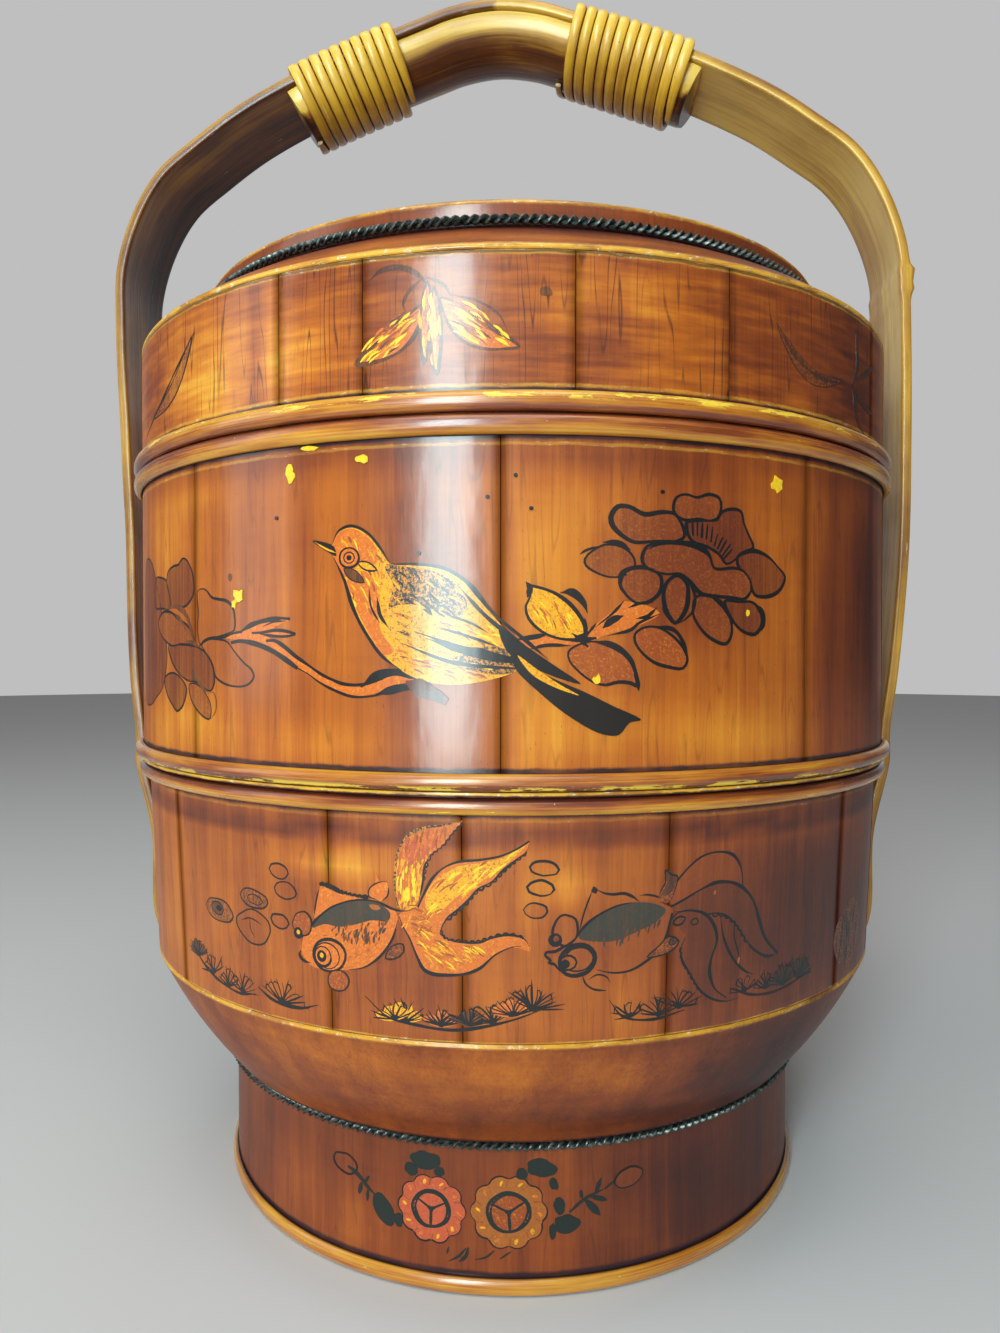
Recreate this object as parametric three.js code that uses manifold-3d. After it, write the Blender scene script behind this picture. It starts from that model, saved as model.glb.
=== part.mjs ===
// Tiered food basket: a foot, a fixed lower tier with a bevelled base, a lift-off upper tier,
// a lift-off lid, and a split-bamboo handle that springs from the lower tier over the lid.
// Millimetres, +Z up, origin at the middle of the foot's underside. The front faces -Y and the
// handle's two legs stand at +X and -X.

import * as THREE from 'three';
import { mergeVertices } from 'three/addons/utils/BufferGeometryUtils.js';
import Module from 'manifold-3d';

const wasm = await Module();
wasm.setup();

// Clearances
const seatGap = 0.3; // glue line or running fit between two pieces
const seamGap = 0.25; // open joint between two staves
const cutOverrun = 5; // how far a cutting tool runs past the face that it cuts

// Walls: the body's outer radius, and how far the other walls draw in from it
const bodyRadius = 132; // upper tier and lid
const wallThickness = 7.5;
const lowerRimDrawIn = 1.7; // the lower tier narrows a little downwards
const lowerArrisDrawIn = 4.5;
const waistDrawIn = 27.5;
const footDrawIn = 30.5;
const collarDrawIn = 21.6;
const footThickness = 7;
const footHeight = 44.3;

// Lower tier
const bevelHeight = 36.6;
const bevelBulge = 1.4;
const lowerWallHeight = 63.6;
const lowerFloorInset = 3.3; // from the waist's outside to the floor's edge
const lowerFloorThickness = 5.5;
const lowerFloorLedge = 6.5; // width of the ledge under the floor
const ledgeHeight = 6.6;

// Upper tier
const upperHeight = 91.7;
const upperFloorThickness = 5.4;
const upperFloorLift = 7.6; // rim below the floor, which covers the locating lip
const crozeDepth = 3;

// Lid
const lidWallHeight = 39.3;
const shoulderRise = 14.5;
const shoulderBulge = 0.7;
const shoulderInnerThickness = 7.5;
const collarThickness = 7;
const collarHeight = 7.7;
const collarSeatWidth = 5;
const lidBoardThickness = 4.5;
const rimRound = 0.9;

// Locating lips, one inside each tier's mouth
const lipThickness = 2.5;
const lipStandUp = 6;
const lipDepth = 12;

// Split bamboo hoops: heights and how far they stand out
const lidHoopHeight = 5.3;
const mouthHoopHeight = 5.2;
const baseHoopHeight = 4.4;
const lowerHoopHeight = 4.3;
const footHoopHeight = 4.7;
const hoopBulge = 2.4;
const lowerHoopBulge = 2.6;
const footHoopBulge = 1.5;
const rimBandHeight = 1.1;
const rimBandThickness = 2;
const hoopEdgeGap = 0.4;

// Twisted wire bands
const wireDiameter = 2.8;

// Handle: a split bamboo slat, its grip pad and the cane lashings
const handleHeight = 417;
const handleBow = 13.4; // from the body's wall out to the outer face of the slat
const handleSpanLevel = 305; // height where the legs are widest apart
const handleLean = 4.6; // the crown leans to -X
const handleTurn = 0.065; // radians, the arch is turned about Z, its -X leg backwards
const gripShift = 2.7; // the grip's middle lies this far to -X of the crown
const slatWidth = 34;
const slatThickness = 3.4;
const slatCrown = 1; // outer face stands up this much along its middle
const slatHollow = 0.5;
const slatEndClearance = 3; // from the slat's ends to the waist wire
const slatHoopGap = 0.5;
const nodeRidgeRadius = 2;
const nodeRidgeRise = 6; // above the level where the legs are widest apart
const padHalfLength = 82; // along the slat
const padWidth = 31;
const padDepth = 12;
const padEndSlope = 0.15; // radians, the ends are cut back underneath
const caneWidth = 3.3; // split cane, flat round
const caneThickness = 2.2;
const caneGap = 0.8;
const leftLaceTurns = 10;
const rightLaceTurns = 11;
const leftLaceStart = 38; // from the grip's middle to the first turn
const rightLaceStart = 31;
const pegRadius = 2.2;
const pegLength = 9;
const pegHead = 0.9;

// Facets
const ringFacets = 48;
const wireFacets = 6;
const hoopFacets = 4;
const caneFacets = 6;
const laceStepsPerTurn = 24;
const padFacets = 8;
const slatSteps = 84;
const ridgeFacets = 8;
const ridgeCapFacets = 3;
const pegFacets = 12;

// Seams between staves, as shares of a full turn from the front towards +X
const lidSeamShares = [-0.075, -0.045, 0.019, 0.069, 0.153, 0.273, 0.353, 0.443, 0.523, 0.613, 0.693, 0.813];
const upperSeamShares = [-0.003, 0.103, 0.183, 0.293, 0.413, 0.533, 0.643, 0.773, 0.883];
const lowerSeamShares = [
  -0.059, -0.015, 0.05, 0.133, 0.183, 0.303, 0.383, 0.473, 0.563, 0.663, 0.783, 0.863,
];

// The arch from the middle of the crown to the widest level:
// shares of the half span, and of the rise above that level
const archShares = [
  [0, 1],
  [0.11, 0.982],
  [0.196, 0.946],
  [0.37, 0.865],
  [0.52, 0.786],
  [0.665, 0.691],
  [0.78, 0.59],
  [0.88, 0.485],
  [0.949, 0.345],
  [0.993, 0.17],
];
// The leg above the hoops: shares of its height there, and of how far it bows out
const legShares = [
  [0.6, 0.86],
  [0.32, 0.63],
  [0.14, 0.35],
];
const pegLevelShares = [0.16, 0.42]; // up the lower tier's wall

// Radii, all outer ones, and levels
const lowerRimRadius = bodyRadius - lowerRimDrawIn;
const lowerArrisRadius = bodyRadius - lowerArrisDrawIn;
const waistRadius = bodyRadius - waistDrawIn;
const footRadius = bodyRadius - footDrawIn;
const lowerFloorRadius = waistRadius - lowerFloorInset;
const collarRadius = bodyRadius - collarDrawIn;
const handleHalfSpan = bodyRadius + handleBow;
const bevelBase = footHeight + seatGap;
const arrisLevel = bevelBase + bevelHeight;
const lowerWallBase = arrisLevel + seatGap;
const lowerRimLevel = lowerWallBase + lowerWallHeight;
const upperBase = lowerRimLevel + seatGap;
const lidBase = upperBase + upperHeight + seatGap;

const bodyBore = bodyRadius - wallThickness;
const lipRadius = bodyBore - seatGap;

// Finishes
function finish(color, roughness, metalness = 0) {
  return new THREE.MeshStandardMaterial({ color, roughness, metalness });
}

const lacquer = finish(0x9a3f17, 0.3);
const darkLacquer = finish(0x7c2f14, 0.35);
const bareWood = finish(0xa8733c, 0.6);
const giltHoop = finish(0xc98a2b, 0.4);
const blackWire = finish(0x2b2c2a, 0.5, 0.7);
const bambooSlat = finish(0xb9812a, 0.35);
const cane = finish(0xd9a62e, 0.4);

// Solids for joining and cutting
function solidOf(geometry) {
  const bare = geometry.clone();
  bare.deleteAttribute('normal');
  bare.deleteAttribute('uv');
  const welded = mergeVertices(bare);
  return new wasm.Manifold(new wasm.Mesh({
    numProp: 3,
    vertProperties: new Float32Array(welded.getAttribute('position').array),
    triVerts: new Uint32Array(welded.getIndex().array),
  }));
}

function geometryOf(solid) {
  const { vertProperties, triVerts } = solid.getMesh();
  const geometry = new THREE.BufferGeometry();
  geometry.setAttribute('position', new THREE.BufferAttribute(vertProperties, 3));
  geometry.setIndex(new THREE.BufferAttribute(triVerts, 1));
  geometry.computeVertexNormals();
  return geometry;
}

function piece(group, name, geometry, material) {
  const mesh = new THREE.Mesh(geometry, material);
  mesh.name = name;
  group.add(mesh);
  return mesh;
}

// A ring round the Z axis from a closed profile of [radius, height] points,
// listed inner foot, outer foot, outer top, inner top
function ring(profile) {
  const points = [...profile, profile[0]].map(([radius, height]) => new THREE.Vector2(radius, height));
  return new THREE.LatheGeometry(points, ringFacets).rotateX(Math.PI / 2);
}

function disc(radius, thickness, base) {
  return new THREE.CylinderGeometry(radius, radius, thickness, ringFacets)
    .rotateX(Math.PI / 2)
    .translate(0, 0, base + thickness / 2);
}

// Points between two profile points that bulge outwards
function bulgedEdge([r0, z0], [r1, z1], bulge, parts) {
  const length = Math.hypot(r1 - r0, z1 - z0);
  const outwardR = (z1 - z0) / length;
  const outwardZ = (r0 - r1) / length;
  const points = [];
  for (let i = 1; i < parts; i += 1) {
    const share = i / parts;
    const swell = bulge * Math.sin(Math.PI * share);
    points.push([
      r0 + (r1 - r0) * share + outwardR * swell,
      z0 + (z1 - z0) * share + outwardZ * swell,
    ]);
  }
  return points;
}

// Split bamboo hoop, flat inside and half round outside
function hoop(innerRadius, base, height, bulge) {
  const profile = [];
  for (let i = 0; i <= hoopFacets; i += 1) {
    const turn = (i / hoopFacets - 1 / 2) * Math.PI;
    profile.push([innerRadius + bulge * Math.cos(turn), base + (height / 2) * (1 + Math.sin(turn))]);
  }
  return ring(profile);
}

function band(innerRadius, thickness, base, height) {
  return ring([
    [innerRadius, base],
    [innerRadius + thickness, base],
    [innerRadius + thickness, base + height],
    [innerRadius, base + height],
  ]);
}

function wireBand(radius, level) {
  const profile = [];
  for (let i = 0; i < wireFacets; i += 1) {
    const turn = (i / wireFacets) * 2 * Math.PI;
    profile.push([
      radius + (wireDiameter / 2) * Math.cos(turn),
      level + (wireDiameter / 2) * Math.sin(turn),
    ]);
  }
  return ring(profile);
}

function bearing(share) {
  const turn = share * 2 * Math.PI;
  return new THREE.Vector2(Math.sin(turn), -Math.cos(turn));
}

// The sector between two seams, half a seam gap inside each of them
function sector(startShare, endShare, reach, base, top) {
  const halfTurn = (endShare - startShare) * Math.PI;
  const apex = bearing((startShare + endShare) / 2).multiplyScalar(seamGap / 2 / Math.sin(halfTurn));
  const shape = new THREE.Shape([
    apex,
    bearing(startShare).multiplyScalar(reach).add(apex),
    bearing(endShare).multiplyScalar(reach).add(apex),
  ]);
  return new THREE.ExtrudeGeometry(shape, { depth: top - base, bevelEnabled: false }).translate(0, 0, base);
}

// Cuts a wall into staves and adds each one to its group
function staves(group, prefix, wall, seamShares, reach, base, top) {
  seamShares.forEach((startShare, i) => {
    const endShare = i + 1 < seamShares.length ? seamShares[i + 1] : seamShares[0] + 1;
    const wedge = solidOf(sector(startShare, endShare, reach, base - cutOverrun, top + cutOverrun));
    const name = `${prefix}_stave_${String(i + 1).padStart(2, '0')}`;
    piece(group, name, geometryOf(wall.intersect(wedge)), lacquer);
  });
}

// Handle line, the outer face of the slat in the XZ plane, from the -X foot to the +X foot
const bevelRun = lowerArrisRadius - waistRadius;
const bevelLength = Math.hypot(bevelRun, bevelHeight);
const slatOffset = seatGap + slatThickness;
const hoopReach = bodyRadius + seatGap + hoopBulge + slatHoopGap + slatThickness;
const slatEndLevel = bevelBase + slatEndClearance;

function wallRadiusAt(level) {
  return lowerArrisRadius + (lowerRimRadius - lowerArrisRadius) * ((level - lowerWallBase) / lowerWallHeight);
}

// A point of the slat's outer face beside the bevel, by its share of the bevel's height
function besideBevel(share) {
  const swell = bevelBulge * Math.sin(Math.PI * share);
  const outwardX = bevelHeight / bevelLength;
  const outwardZ = -bevelRun / bevelLength;
  return [
    waistRadius + bevelRun * share + outwardX * (swell + slatOffset),
    bevelBase + bevelHeight * share + outwardZ * (swell + slatOffset),
  ];
}

function handleSide() {
  const archRise = handleHeight - handleSpanLevel;
  const arch = archShares.map(([across, up]) => [
    handleHalfSpan * across,
    handleSpanLevel + archRise * up,
  ]);
  const hoopTop = upperBase + baseHoopHeight;
  const hoopFoot = lowerRimLevel - rimBandHeight - lowerHoopHeight;
  const legRise = handleSpanLevel - hoopTop;
  const legBow = handleHalfSpan - hoopReach;
  const wallMiddle = lowerWallBase + lowerWallHeight / 2;
  return [
    ...arch,
    [handleHalfSpan, handleSpanLevel],
    ...legShares.map(([up, out]) => [hoopReach + legBow * out, hoopTop + legRise * up]),
    [hoopReach, hoopTop],
    [hoopReach, hoopFoot],
    [wallRadiusAt(wallMiddle) + slatOffset + seatGap, wallMiddle],
    [lowerArrisRadius + slatOffset + seatGap, lowerWallBase],
    besideBevel(2 / 3),
    besideBevel(1 / 3),
    besideBevel(slatEndClearance / bevelHeight),
  ];
}

function leanAt(level) {
  return -handleLean * THREE.MathUtils.smoothstep(level, upperBase, handleHeight);
}

// Turns a piece of the handle about Z, from nothing at the upper tier's foot to the whole turn
// at its mouth
function turnedWithArch(geometry) {
  const places = geometry.getAttribute('position');
  const upright = new THREE.Vector3(0, 0, 1);
  const place = new THREE.Vector3();
  for (let i = 0; i < places.count; i += 1) {
    place.fromBufferAttribute(places, i);
    place.applyAxisAngle(upright, -handleTurn * THREE.MathUtils.smoothstep(place.z, upperBase, lidBase));
    places.setXYZ(i, place.x, place.y, place.z);
  }
  geometry.computeVertexNormals();
  return geometry;
}

function handleLine() {
  const side = handleSide();
  const left = side.slice(1).reverse().map(([across, level]) => [-across, level]);
  const points = [...left, ...side].map(
    ([across, level]) => new THREE.Vector3(across + leanAt(level), 0, level),
  );
  const curve = new THREE.CatmullRomCurve3(points, false, 'centripetal');
  curve.arcLengthDivisions = 20 * slatSteps;
  return curve;
}

const handleCurve = handleLine();
const handleLength = handleCurve.getLength();

// A frame on the handle at an arc length from its middle
function handleFrame(along) {
  const share = 1 / 2 + along / handleLength;
  const origin = handleCurve.getPointAt(share);
  const tangent = handleCurve.getTangentAt(share);
  const inward = new THREE.Vector3(0, 1, 0).cross(tangent);
  return { origin, tangent, inward };
}

// The frame on the +X leg at a level, found by halving
function frameAtLevel(level) {
  let low = 0;
  let high = handleLength / 2;
  while (high - low > seatGap / 100) {
    const middle = (low + high) / 2;
    if (handleFrame(middle).origin.z > level) {
      low = middle;
    } else {
      high = middle;
    }
  }
  return handleFrame(low);
}

// The part of the handle line between two arc lengths
class HandleStretch extends THREE.Curve {
  constructor(from, to) {
    super();
    this.from = from;
    this.to = to;
  }

  getPoint(share) {
    return handleFrame(this.from + (this.to - this.from) * share).origin;
  }
}

// Across the slat is x, and y runs inwards from the line of the outer face
function slatSection() {
  const half = slatWidth / 2;
  const shape = new THREE.Shape();
  shape.moveTo(-half, slatThickness);
  shape.lineTo(-half, 0);
  shape.lineTo(-half / 2, -slatCrown);
  shape.lineTo(half / 2, -slatCrown);
  shape.lineTo(half, 0);
  shape.lineTo(half, slatThickness);
  shape.lineTo(0, slatThickness - slatHollow);
  return shape;
}

function pegFrame(side, levelShare) {
  const level = lowerWallBase + lowerWallHeight * levelShare;
  const headX = wallRadiusAt(level) + 2 * seatGap + slatThickness + slatCrown + pegHead;
  return { level, headX: side * headX };
}

// A peg along X, its head outside the slat and its tip in the wall
function pegBody(side, levelShare, radius, length) {
  const { level, headX } = pegFrame(side, levelShare);
  return new THREE.CylinderGeometry(radius, radius, length, pegFacets)
    .rotateZ(Math.PI / 2)
    .translate(headX - (side * length) / 2, 0, level);
}

const pegPlaces = [-1, 1].flatMap((side) => pegLevelShares.map((levelShare) => [side, levelShare]));
const pegHoles = pegPlaces.map(([side, levelShare]) => (
  solidOf(pegBody(side, levelShare, pegRadius + seatGap, pegLength + pegHead + slatThickness))
));

function slatGeometry() {
  const slat = new THREE.ExtrudeGeometry(slatSection(), {
    steps: slatSteps,
    extrudePath: handleCurve,
    bevelEnabled: false,
  });
  const { origin, inward } = frameAtLevel(handleSpanLevel + nodeRidgeRise);
  const ridgeCentre = origin.addScaledVector(inward, slatCrown / 2);
  const ridge = new THREE.CapsuleGeometry(
    nodeRidgeRadius, slatWidth - 2 * nodeRidgeRadius, ridgeCapFacets, ridgeFacets,
  ).translate(ridgeCentre.x, ridgeCentre.y, ridgeCentre.z);
  let solid = solidOf(slat).add(solidOf(ridge));
  pegHoles.forEach((hole) => {
    solid = solid.subtract(hole);
  });
  return geometryOf(solid);
}

// The grip pad is half round underneath and its ends slope back. Its facets match the slat's.
function padGeometry() {
  const inset = slatThickness + seatGap;
  const shape = new THREE.Shape();
  for (let i = 0; i <= padFacets; i += 1) {
    const turn = (i / padFacets) * Math.PI;
    const x = (padWidth / 2) * Math.cos(turn);
    const y = inset + padDepth * Math.sin(turn);
    if (i === 0) {
      shape.moveTo(x, y);
    } else {
      shape.lineTo(x, y);
    }
  }
  const slatStep = handleLength / slatSteps;
  const first = Math.floor((-padHalfLength - gripShift) / slatStep);
  const last = Math.ceil((padHalfLength - gripShift) / slatStep);
  const body = new THREE.ExtrudeGeometry(shape, {
    steps: last - first,
    extrudePath: new HandleStretch(first * slatStep, last * slatStep),
    bevelEnabled: false,
  });
  let solid = solidOf(body);
  [-1, 1].forEach((side) => {
    const { origin, tangent, inward } = handleFrame(side * padHalfLength - gripShift);
    const corner = origin.clone().addScaledVector(inward, inset);
    const outwards = tangent.clone().multiplyScalar(side);
    const slope = new THREE.Matrix4().makeBasis(outwards, inward, outwards.clone().cross(inward));
    const reach = padHalfLength / 2;
    const cutter = new THREE.BoxGeometry(reach, reach, reach)
      .translate(reach / 2, 0, 0)
      .rotateZ(padEndSlope)
      .applyMatrix4(slope)
      .translate(corner.x, corner.y, corner.z);
    solid = solid.subtract(solidOf(cutter));
  });
  return geometryOf(solid);
}

// Round the slat and its pad: flat over the slat, half round under the pad
const laceClear = seatGap + caneThickness / 2;

function laceOutline(turn) {
  const across = Math.cos(turn);
  const up = Math.sin(turn);
  const halfWidth = slatWidth / 2 + laceClear + seatGap;
  if (up < 0) {
    const depth = padDepth + laceClear + 2 * seatGap;
    return [halfWidth * across, slatThickness - depth * up];
  }
  const squareness = 2 / 5;
  const rise = slatThickness + slatCrown + laceClear + seatGap;
  return [
    halfWidth * Math.sign(across) * Math.abs(across) ** squareness,
    slatThickness - rise * up ** squareness,
  ];
}

// One unbroken length of cane wound round the slat and the pad, as stations
// that each hold a point and the direction of the slat there
function laceLine(side, start, turnCount) {
  const pitch = caneWidth + caneGap;
  const stations = [];
  const count = turnCount * laceStepsPerTurn;
  for (let i = 0; i <= count; i += 1) {
    const turns = i / laceStepsPerTurn;
    const along = side * (start + pitch * turns) - gripShift;
    const { origin, tangent, inward } = handleFrame(along);
    const [across, depth] = laceOutline(-Math.PI / 2 + side * turns * 2 * Math.PI);
    const point = origin.addScaledVector(inward, depth);
    point.y += across;
    stations.push({ point, sideways: tangent });
  }
  return stations;
}

function runOn(station, neighbour, length) {
  const step = station.point.clone().sub(neighbour.point).setLength(length);
  return { point: step.add(station.point), sideways: station.sideways };
}

function straightEnds(stations, length) {
  return [
    runOn(stations[0], stations[1], length),
    ...stations,
    runOn(stations.at(-1), stations.at(-2), length),
  ];
}

// A closed flat-round strip along its stations
function stripAlong(stations, width, thickness, sides) {
  const vertices = [];
  const faces = [];
  stations.forEach(({ point, sideways }, i) => {
    const before = stations[Math.max(i - 1, 0)].point;
    const after = stations[Math.min(i + 1, stations.length - 1)].point;
    const tangent = after.clone().sub(before).normalize();
    const outwards = tangent.clone().cross(sideways).normalize();
    const across = outwards.clone().cross(tangent);
    for (let k = 0; k < sides; k += 1) {
      const turn = (k / sides) * 2 * Math.PI;
      const vertex = point.clone()
        .addScaledVector(across, (width / 2) * Math.cos(turn))
        .addScaledVector(outwards, (thickness / 2) * Math.sin(turn));
      vertices.push(...vertex.toArray());
    }
  });
  for (let i = 0; i + 1 < stations.length; i += 1) {
    for (let k = 0; k < sides; k += 1) {
      const a = i * sides + k;
      const b = i * sides + ((k + 1) % sides);
      faces.push(a, b, a + sides, b, b + sides, a + sides);
    }
  }
  const lastRing = (stations.length - 1) * sides;
  for (let k = 1; k + 1 < sides; k += 1) {
    faces.push(0, k + 1, k);
    faces.push(lastRing, lastRing + k, lastRing + k + 1);
  }
  const geometry = new THREE.BufferGeometry();
  geometry.setAttribute('position', new THREE.Float32BufferAttribute(vertices, 3));
  geometry.setIndex(faces);
  geometry.computeVertexNormals();
  return geometry;
}

// Least clear distance between two turns of a wound line, measured on its points
function leastGap(stations, width, stepsApart) {
  let least = Infinity;
  for (let i = 0; i < stations.length; i += 1) {
    for (let j = i + stepsApart; j < stations.length; j += 1) {
      least = Math.min(least, stations[i].point.distanceTo(stations[j].point));
    }
  }
  return least - width;
}

const basket = new THREE.Group();

// Foot and lower tier, with the handle
const base = new THREE.Group();
basket.add(base);

piece(base, 'foot_ring', band(footRadius - footThickness, footThickness, 0, footHeight), lacquer);
piece(
  base, 'foot_hoop',
  hoop(footRadius + seatGap, seatGap, footHoopHeight, footHoopBulge), giltHoop,
);
piece(
  base, 'waist_wire',
  wireBand(
    footRadius + seatGap + wireDiameter / 2,
    bevelBase - seatGap - wireDiameter / 2,
  ), blackWire,
);

const ledgeRadius = lowerFloorRadius + seatGap;
const ledgeLevel = bevelBase + ledgeHeight;
const bevelFoot = [waistRadius, bevelBase];
const bevelArris = [lowerArrisRadius, arrisLevel];
const bevelRing = ring([
  [ledgeRadius - lowerFloorLedge, bevelBase],
  bevelFoot,
  ...bulgedEdge(bevelFoot, bevelArris, bevelBulge, 3),
  bevelArris,
  [lowerArrisRadius - wallThickness, arrisLevel],
  [ledgeRadius, ledgeLevel + seatGap + lowerFloorThickness],
  [ledgeRadius, ledgeLevel],
  [ledgeRadius - lowerFloorLedge, ledgeLevel],
]);
piece(base, 'lower_bevel', bevelRing, lacquer);
piece(base, 'lower_floor', disc(lowerFloorRadius, lowerFloorThickness, ledgeLevel + seatGap), bareWood);

const lipSeatLevel = lowerRimLevel - lipDepth - seatGap;
const lowerWall = solidOf(ring([
  [lowerArrisRadius - wallThickness, lowerWallBase],
  [lowerArrisRadius, lowerWallBase],
  [lowerRimRadius, lowerRimLevel],
  [bodyBore, lowerRimLevel],
  [bodyBore, lipSeatLevel],
  [wallRadiusAt(lipSeatLevel) - wallThickness, lipSeatLevel],
]));
const drilledWall = pegHoles.reduce((wall, hole) => wall.subtract(hole), lowerWall);
const wallReach = 2 * bodyRadius;
staves(base, 'lower', drilledWall, lowerSeamShares, wallReach, lowerWallBase, lowerRimLevel);

const lipHeight = lipDepth + lipStandUp;
piece(
  base, 'lower_lip',
  band(lipRadius - lipThickness, lipThickness, lowerRimLevel - lipDepth, lipHeight), bareWood,
);
const lowerHoopRadius = lowerRimRadius + seatGap;
const rimBandBase = lowerRimLevel - rimBandHeight;
piece(
  base, 'lower_hoop',
  hoop(lowerHoopRadius, rimBandBase - hoopEdgeGap - lowerHoopHeight, lowerHoopHeight, lowerHoopBulge),
  giltHoop,
);
piece(base, 'rim_band', band(lowerHoopRadius, rimBandThickness, rimBandBase, rimBandHeight), darkLacquer);

piece(base, 'handle_slat', turnedWithArch(slatGeometry()), bambooSlat);
piece(base, 'grip_pad', turnedWithArch(padGeometry()), bambooSlat);
[
  ['left', laceLine(-1, leftLaceStart, leftLaceTurns)],
  ['right', laceLine(1, rightLaceStart, rightLaceTurns)],
].forEach(([word, line]) => {
  const gap = leastGap(line, caneWidth, laceStepsPerTurn / 2);
  console.log(`lashing_${word}: least gap between turns ${gap.toFixed(2)} mm`);
  const strip = stripAlong(straightEnds(line, caneWidth), caneWidth, caneThickness, caneFacets);
  piece(base, `lashing_${word}`, turnedWithArch(strip), cane);
});
pegPlaces.forEach(([side, levelShare], i) => {
  const peg = pegBody(side, levelShare, pegRadius, pegLength);
  piece(base, `handle_peg_${i + 1}`, peg, bareWood);
});

// Upper tier, its heights measured from its own rim
const upper = new THREE.Group();
upper.position.z = upperBase;
basket.add(upper);

const crozeRadius = bodyBore + crozeDepth;
const crozeBase = upperFloorLift;
const crozeTop = crozeBase + upperFloorThickness + 2 * seatGap;
const upperWall = solidOf(ring([
  [bodyBore, 0],
  [bodyRadius, 0],
  [bodyRadius, upperHeight],
  [bodyBore, upperHeight],
  [bodyBore, crozeTop],
  [crozeRadius, crozeTop],
  [crozeRadius, crozeBase],
  [bodyBore, crozeBase],
]));
staves(upper, 'upper', upperWall, upperSeamShares, wallReach, 0, upperHeight);
piece(
  upper, 'upper_floor',
  disc(crozeRadius - seatGap, upperFloorThickness, crozeBase + seatGap), bareWood,
);
piece(
  upper, 'upper_lip',
  band(lipRadius - lipThickness, lipThickness, upperHeight - lipDepth, lipHeight), bareWood,
);
const bodyHoopRadius = bodyRadius + seatGap;
piece(
  upper, 'upper_mouth_hoop',
  hoop(bodyHoopRadius, upperHeight - mouthHoopHeight, mouthHoopHeight, hoopBulge), giltHoop,
);
piece(upper, 'upper_base_hoop', hoop(bodyHoopRadius, 0, baseHoopHeight, hoopBulge), giltHoop);

// Lid, its heights measured from its own rim
const lid = new THREE.Group();
lid.position.z = lidBase;
basket.add(lid);

const lidWall = solidOf(band(bodyBore, wallThickness, 0, lidWallHeight));
staves(lid, 'lid', lidWall, lidSeamShares, wallReach, 0, lidWallHeight);
piece(lid, 'lid_hoop', hoop(bodyHoopRadius, 0, lidHoopHeight, hoopBulge), giltHoop);

const shoulderBase = lidWallHeight + seatGap;
const shoulderTop = shoulderBase + shoulderRise;
const collarBore = collarRadius - collarThickness;
const shoulderBore = collarBore - collarSeatWidth;
const shoulderArris = [bodyRadius, shoulderBase + rimRound];
const shoulderCrest = [collarRadius + seatGap, shoulderTop];
const shoulderRing = ring([
  [bodyBore, shoulderBase],
  [bodyRadius, shoulderBase],
  shoulderArris,
  ...bulgedEdge(shoulderArris, shoulderCrest, shoulderBulge, 3),
  shoulderCrest,
  [shoulderBore, shoulderTop],
  [shoulderBore, shoulderTop - shoulderInnerThickness],
  [collarBore, shoulderTop - shoulderInnerThickness],
]);
piece(lid, 'lid_shoulder', shoulderRing, lacquer);

const shoulderRun = bodyRadius - shoulderCrest[0];
const shoulderClimb = shoulderTop - shoulderArris[1];
const shoulderLength = Math.hypot(shoulderRun, shoulderClimb);
const wireOut = seatGap + wireDiameter / 2;
const lidWireRadius = collarRadius + wireOut;
const slopeAtWire = shoulderTop - ((lidWireRadius - shoulderCrest[0]) * shoulderClimb) / shoulderRun;
const lidWireLevel = slopeAtWire + (wireOut + shoulderBulge / 2) * (shoulderLength / shoulderRun);
piece(lid, 'lid_wire', wireBand(lidWireRadius, lidWireLevel), blackWire);

const collarBase = shoulderTop + seatGap;
const collarTop = collarBase + collarHeight;
piece(lid, 'lid_collar', ring([
  [collarBore, collarBase],
  [collarRadius, collarBase],
  [collarRadius, collarTop - rimRound],
  [collarRadius - rimRound, collarTop],
  [collarBore + rimRound, collarTop],
  [collarBore, collarTop - rimRound],
]), lacquer);
piece(lid, 'lid_board', disc(collarBore - seatGap, lidBoardThickness, collarBase), lacquer);

export default basket;
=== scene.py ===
import math
import random

import bmesh
import bpy
from mathutils import Euler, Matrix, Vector, noise
from mathutils.geometry import delaunay_2d_cdt


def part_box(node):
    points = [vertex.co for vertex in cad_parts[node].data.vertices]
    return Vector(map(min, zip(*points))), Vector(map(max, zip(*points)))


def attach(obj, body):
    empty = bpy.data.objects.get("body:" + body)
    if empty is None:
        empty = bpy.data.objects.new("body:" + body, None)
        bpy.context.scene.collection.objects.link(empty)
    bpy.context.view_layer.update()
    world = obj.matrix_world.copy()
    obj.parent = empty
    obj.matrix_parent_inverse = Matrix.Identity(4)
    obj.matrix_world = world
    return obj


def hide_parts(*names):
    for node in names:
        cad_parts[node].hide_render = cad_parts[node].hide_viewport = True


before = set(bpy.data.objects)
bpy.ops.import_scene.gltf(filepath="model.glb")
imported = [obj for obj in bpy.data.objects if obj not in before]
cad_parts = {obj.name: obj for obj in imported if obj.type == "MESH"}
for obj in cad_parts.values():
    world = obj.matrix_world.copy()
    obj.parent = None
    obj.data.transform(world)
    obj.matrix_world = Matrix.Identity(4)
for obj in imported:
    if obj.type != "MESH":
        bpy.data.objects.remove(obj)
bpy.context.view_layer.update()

MM = 0.001
GAP = 0.3 * MM  # glue line or running fit between two pieces
WALL = 7.5 * MM
AROUND = 288  # steps round a turned piece
CREASE = math.radians(38)
BEHIND = 0.1 * MM  # how far painted work reaches under the surface

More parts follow.
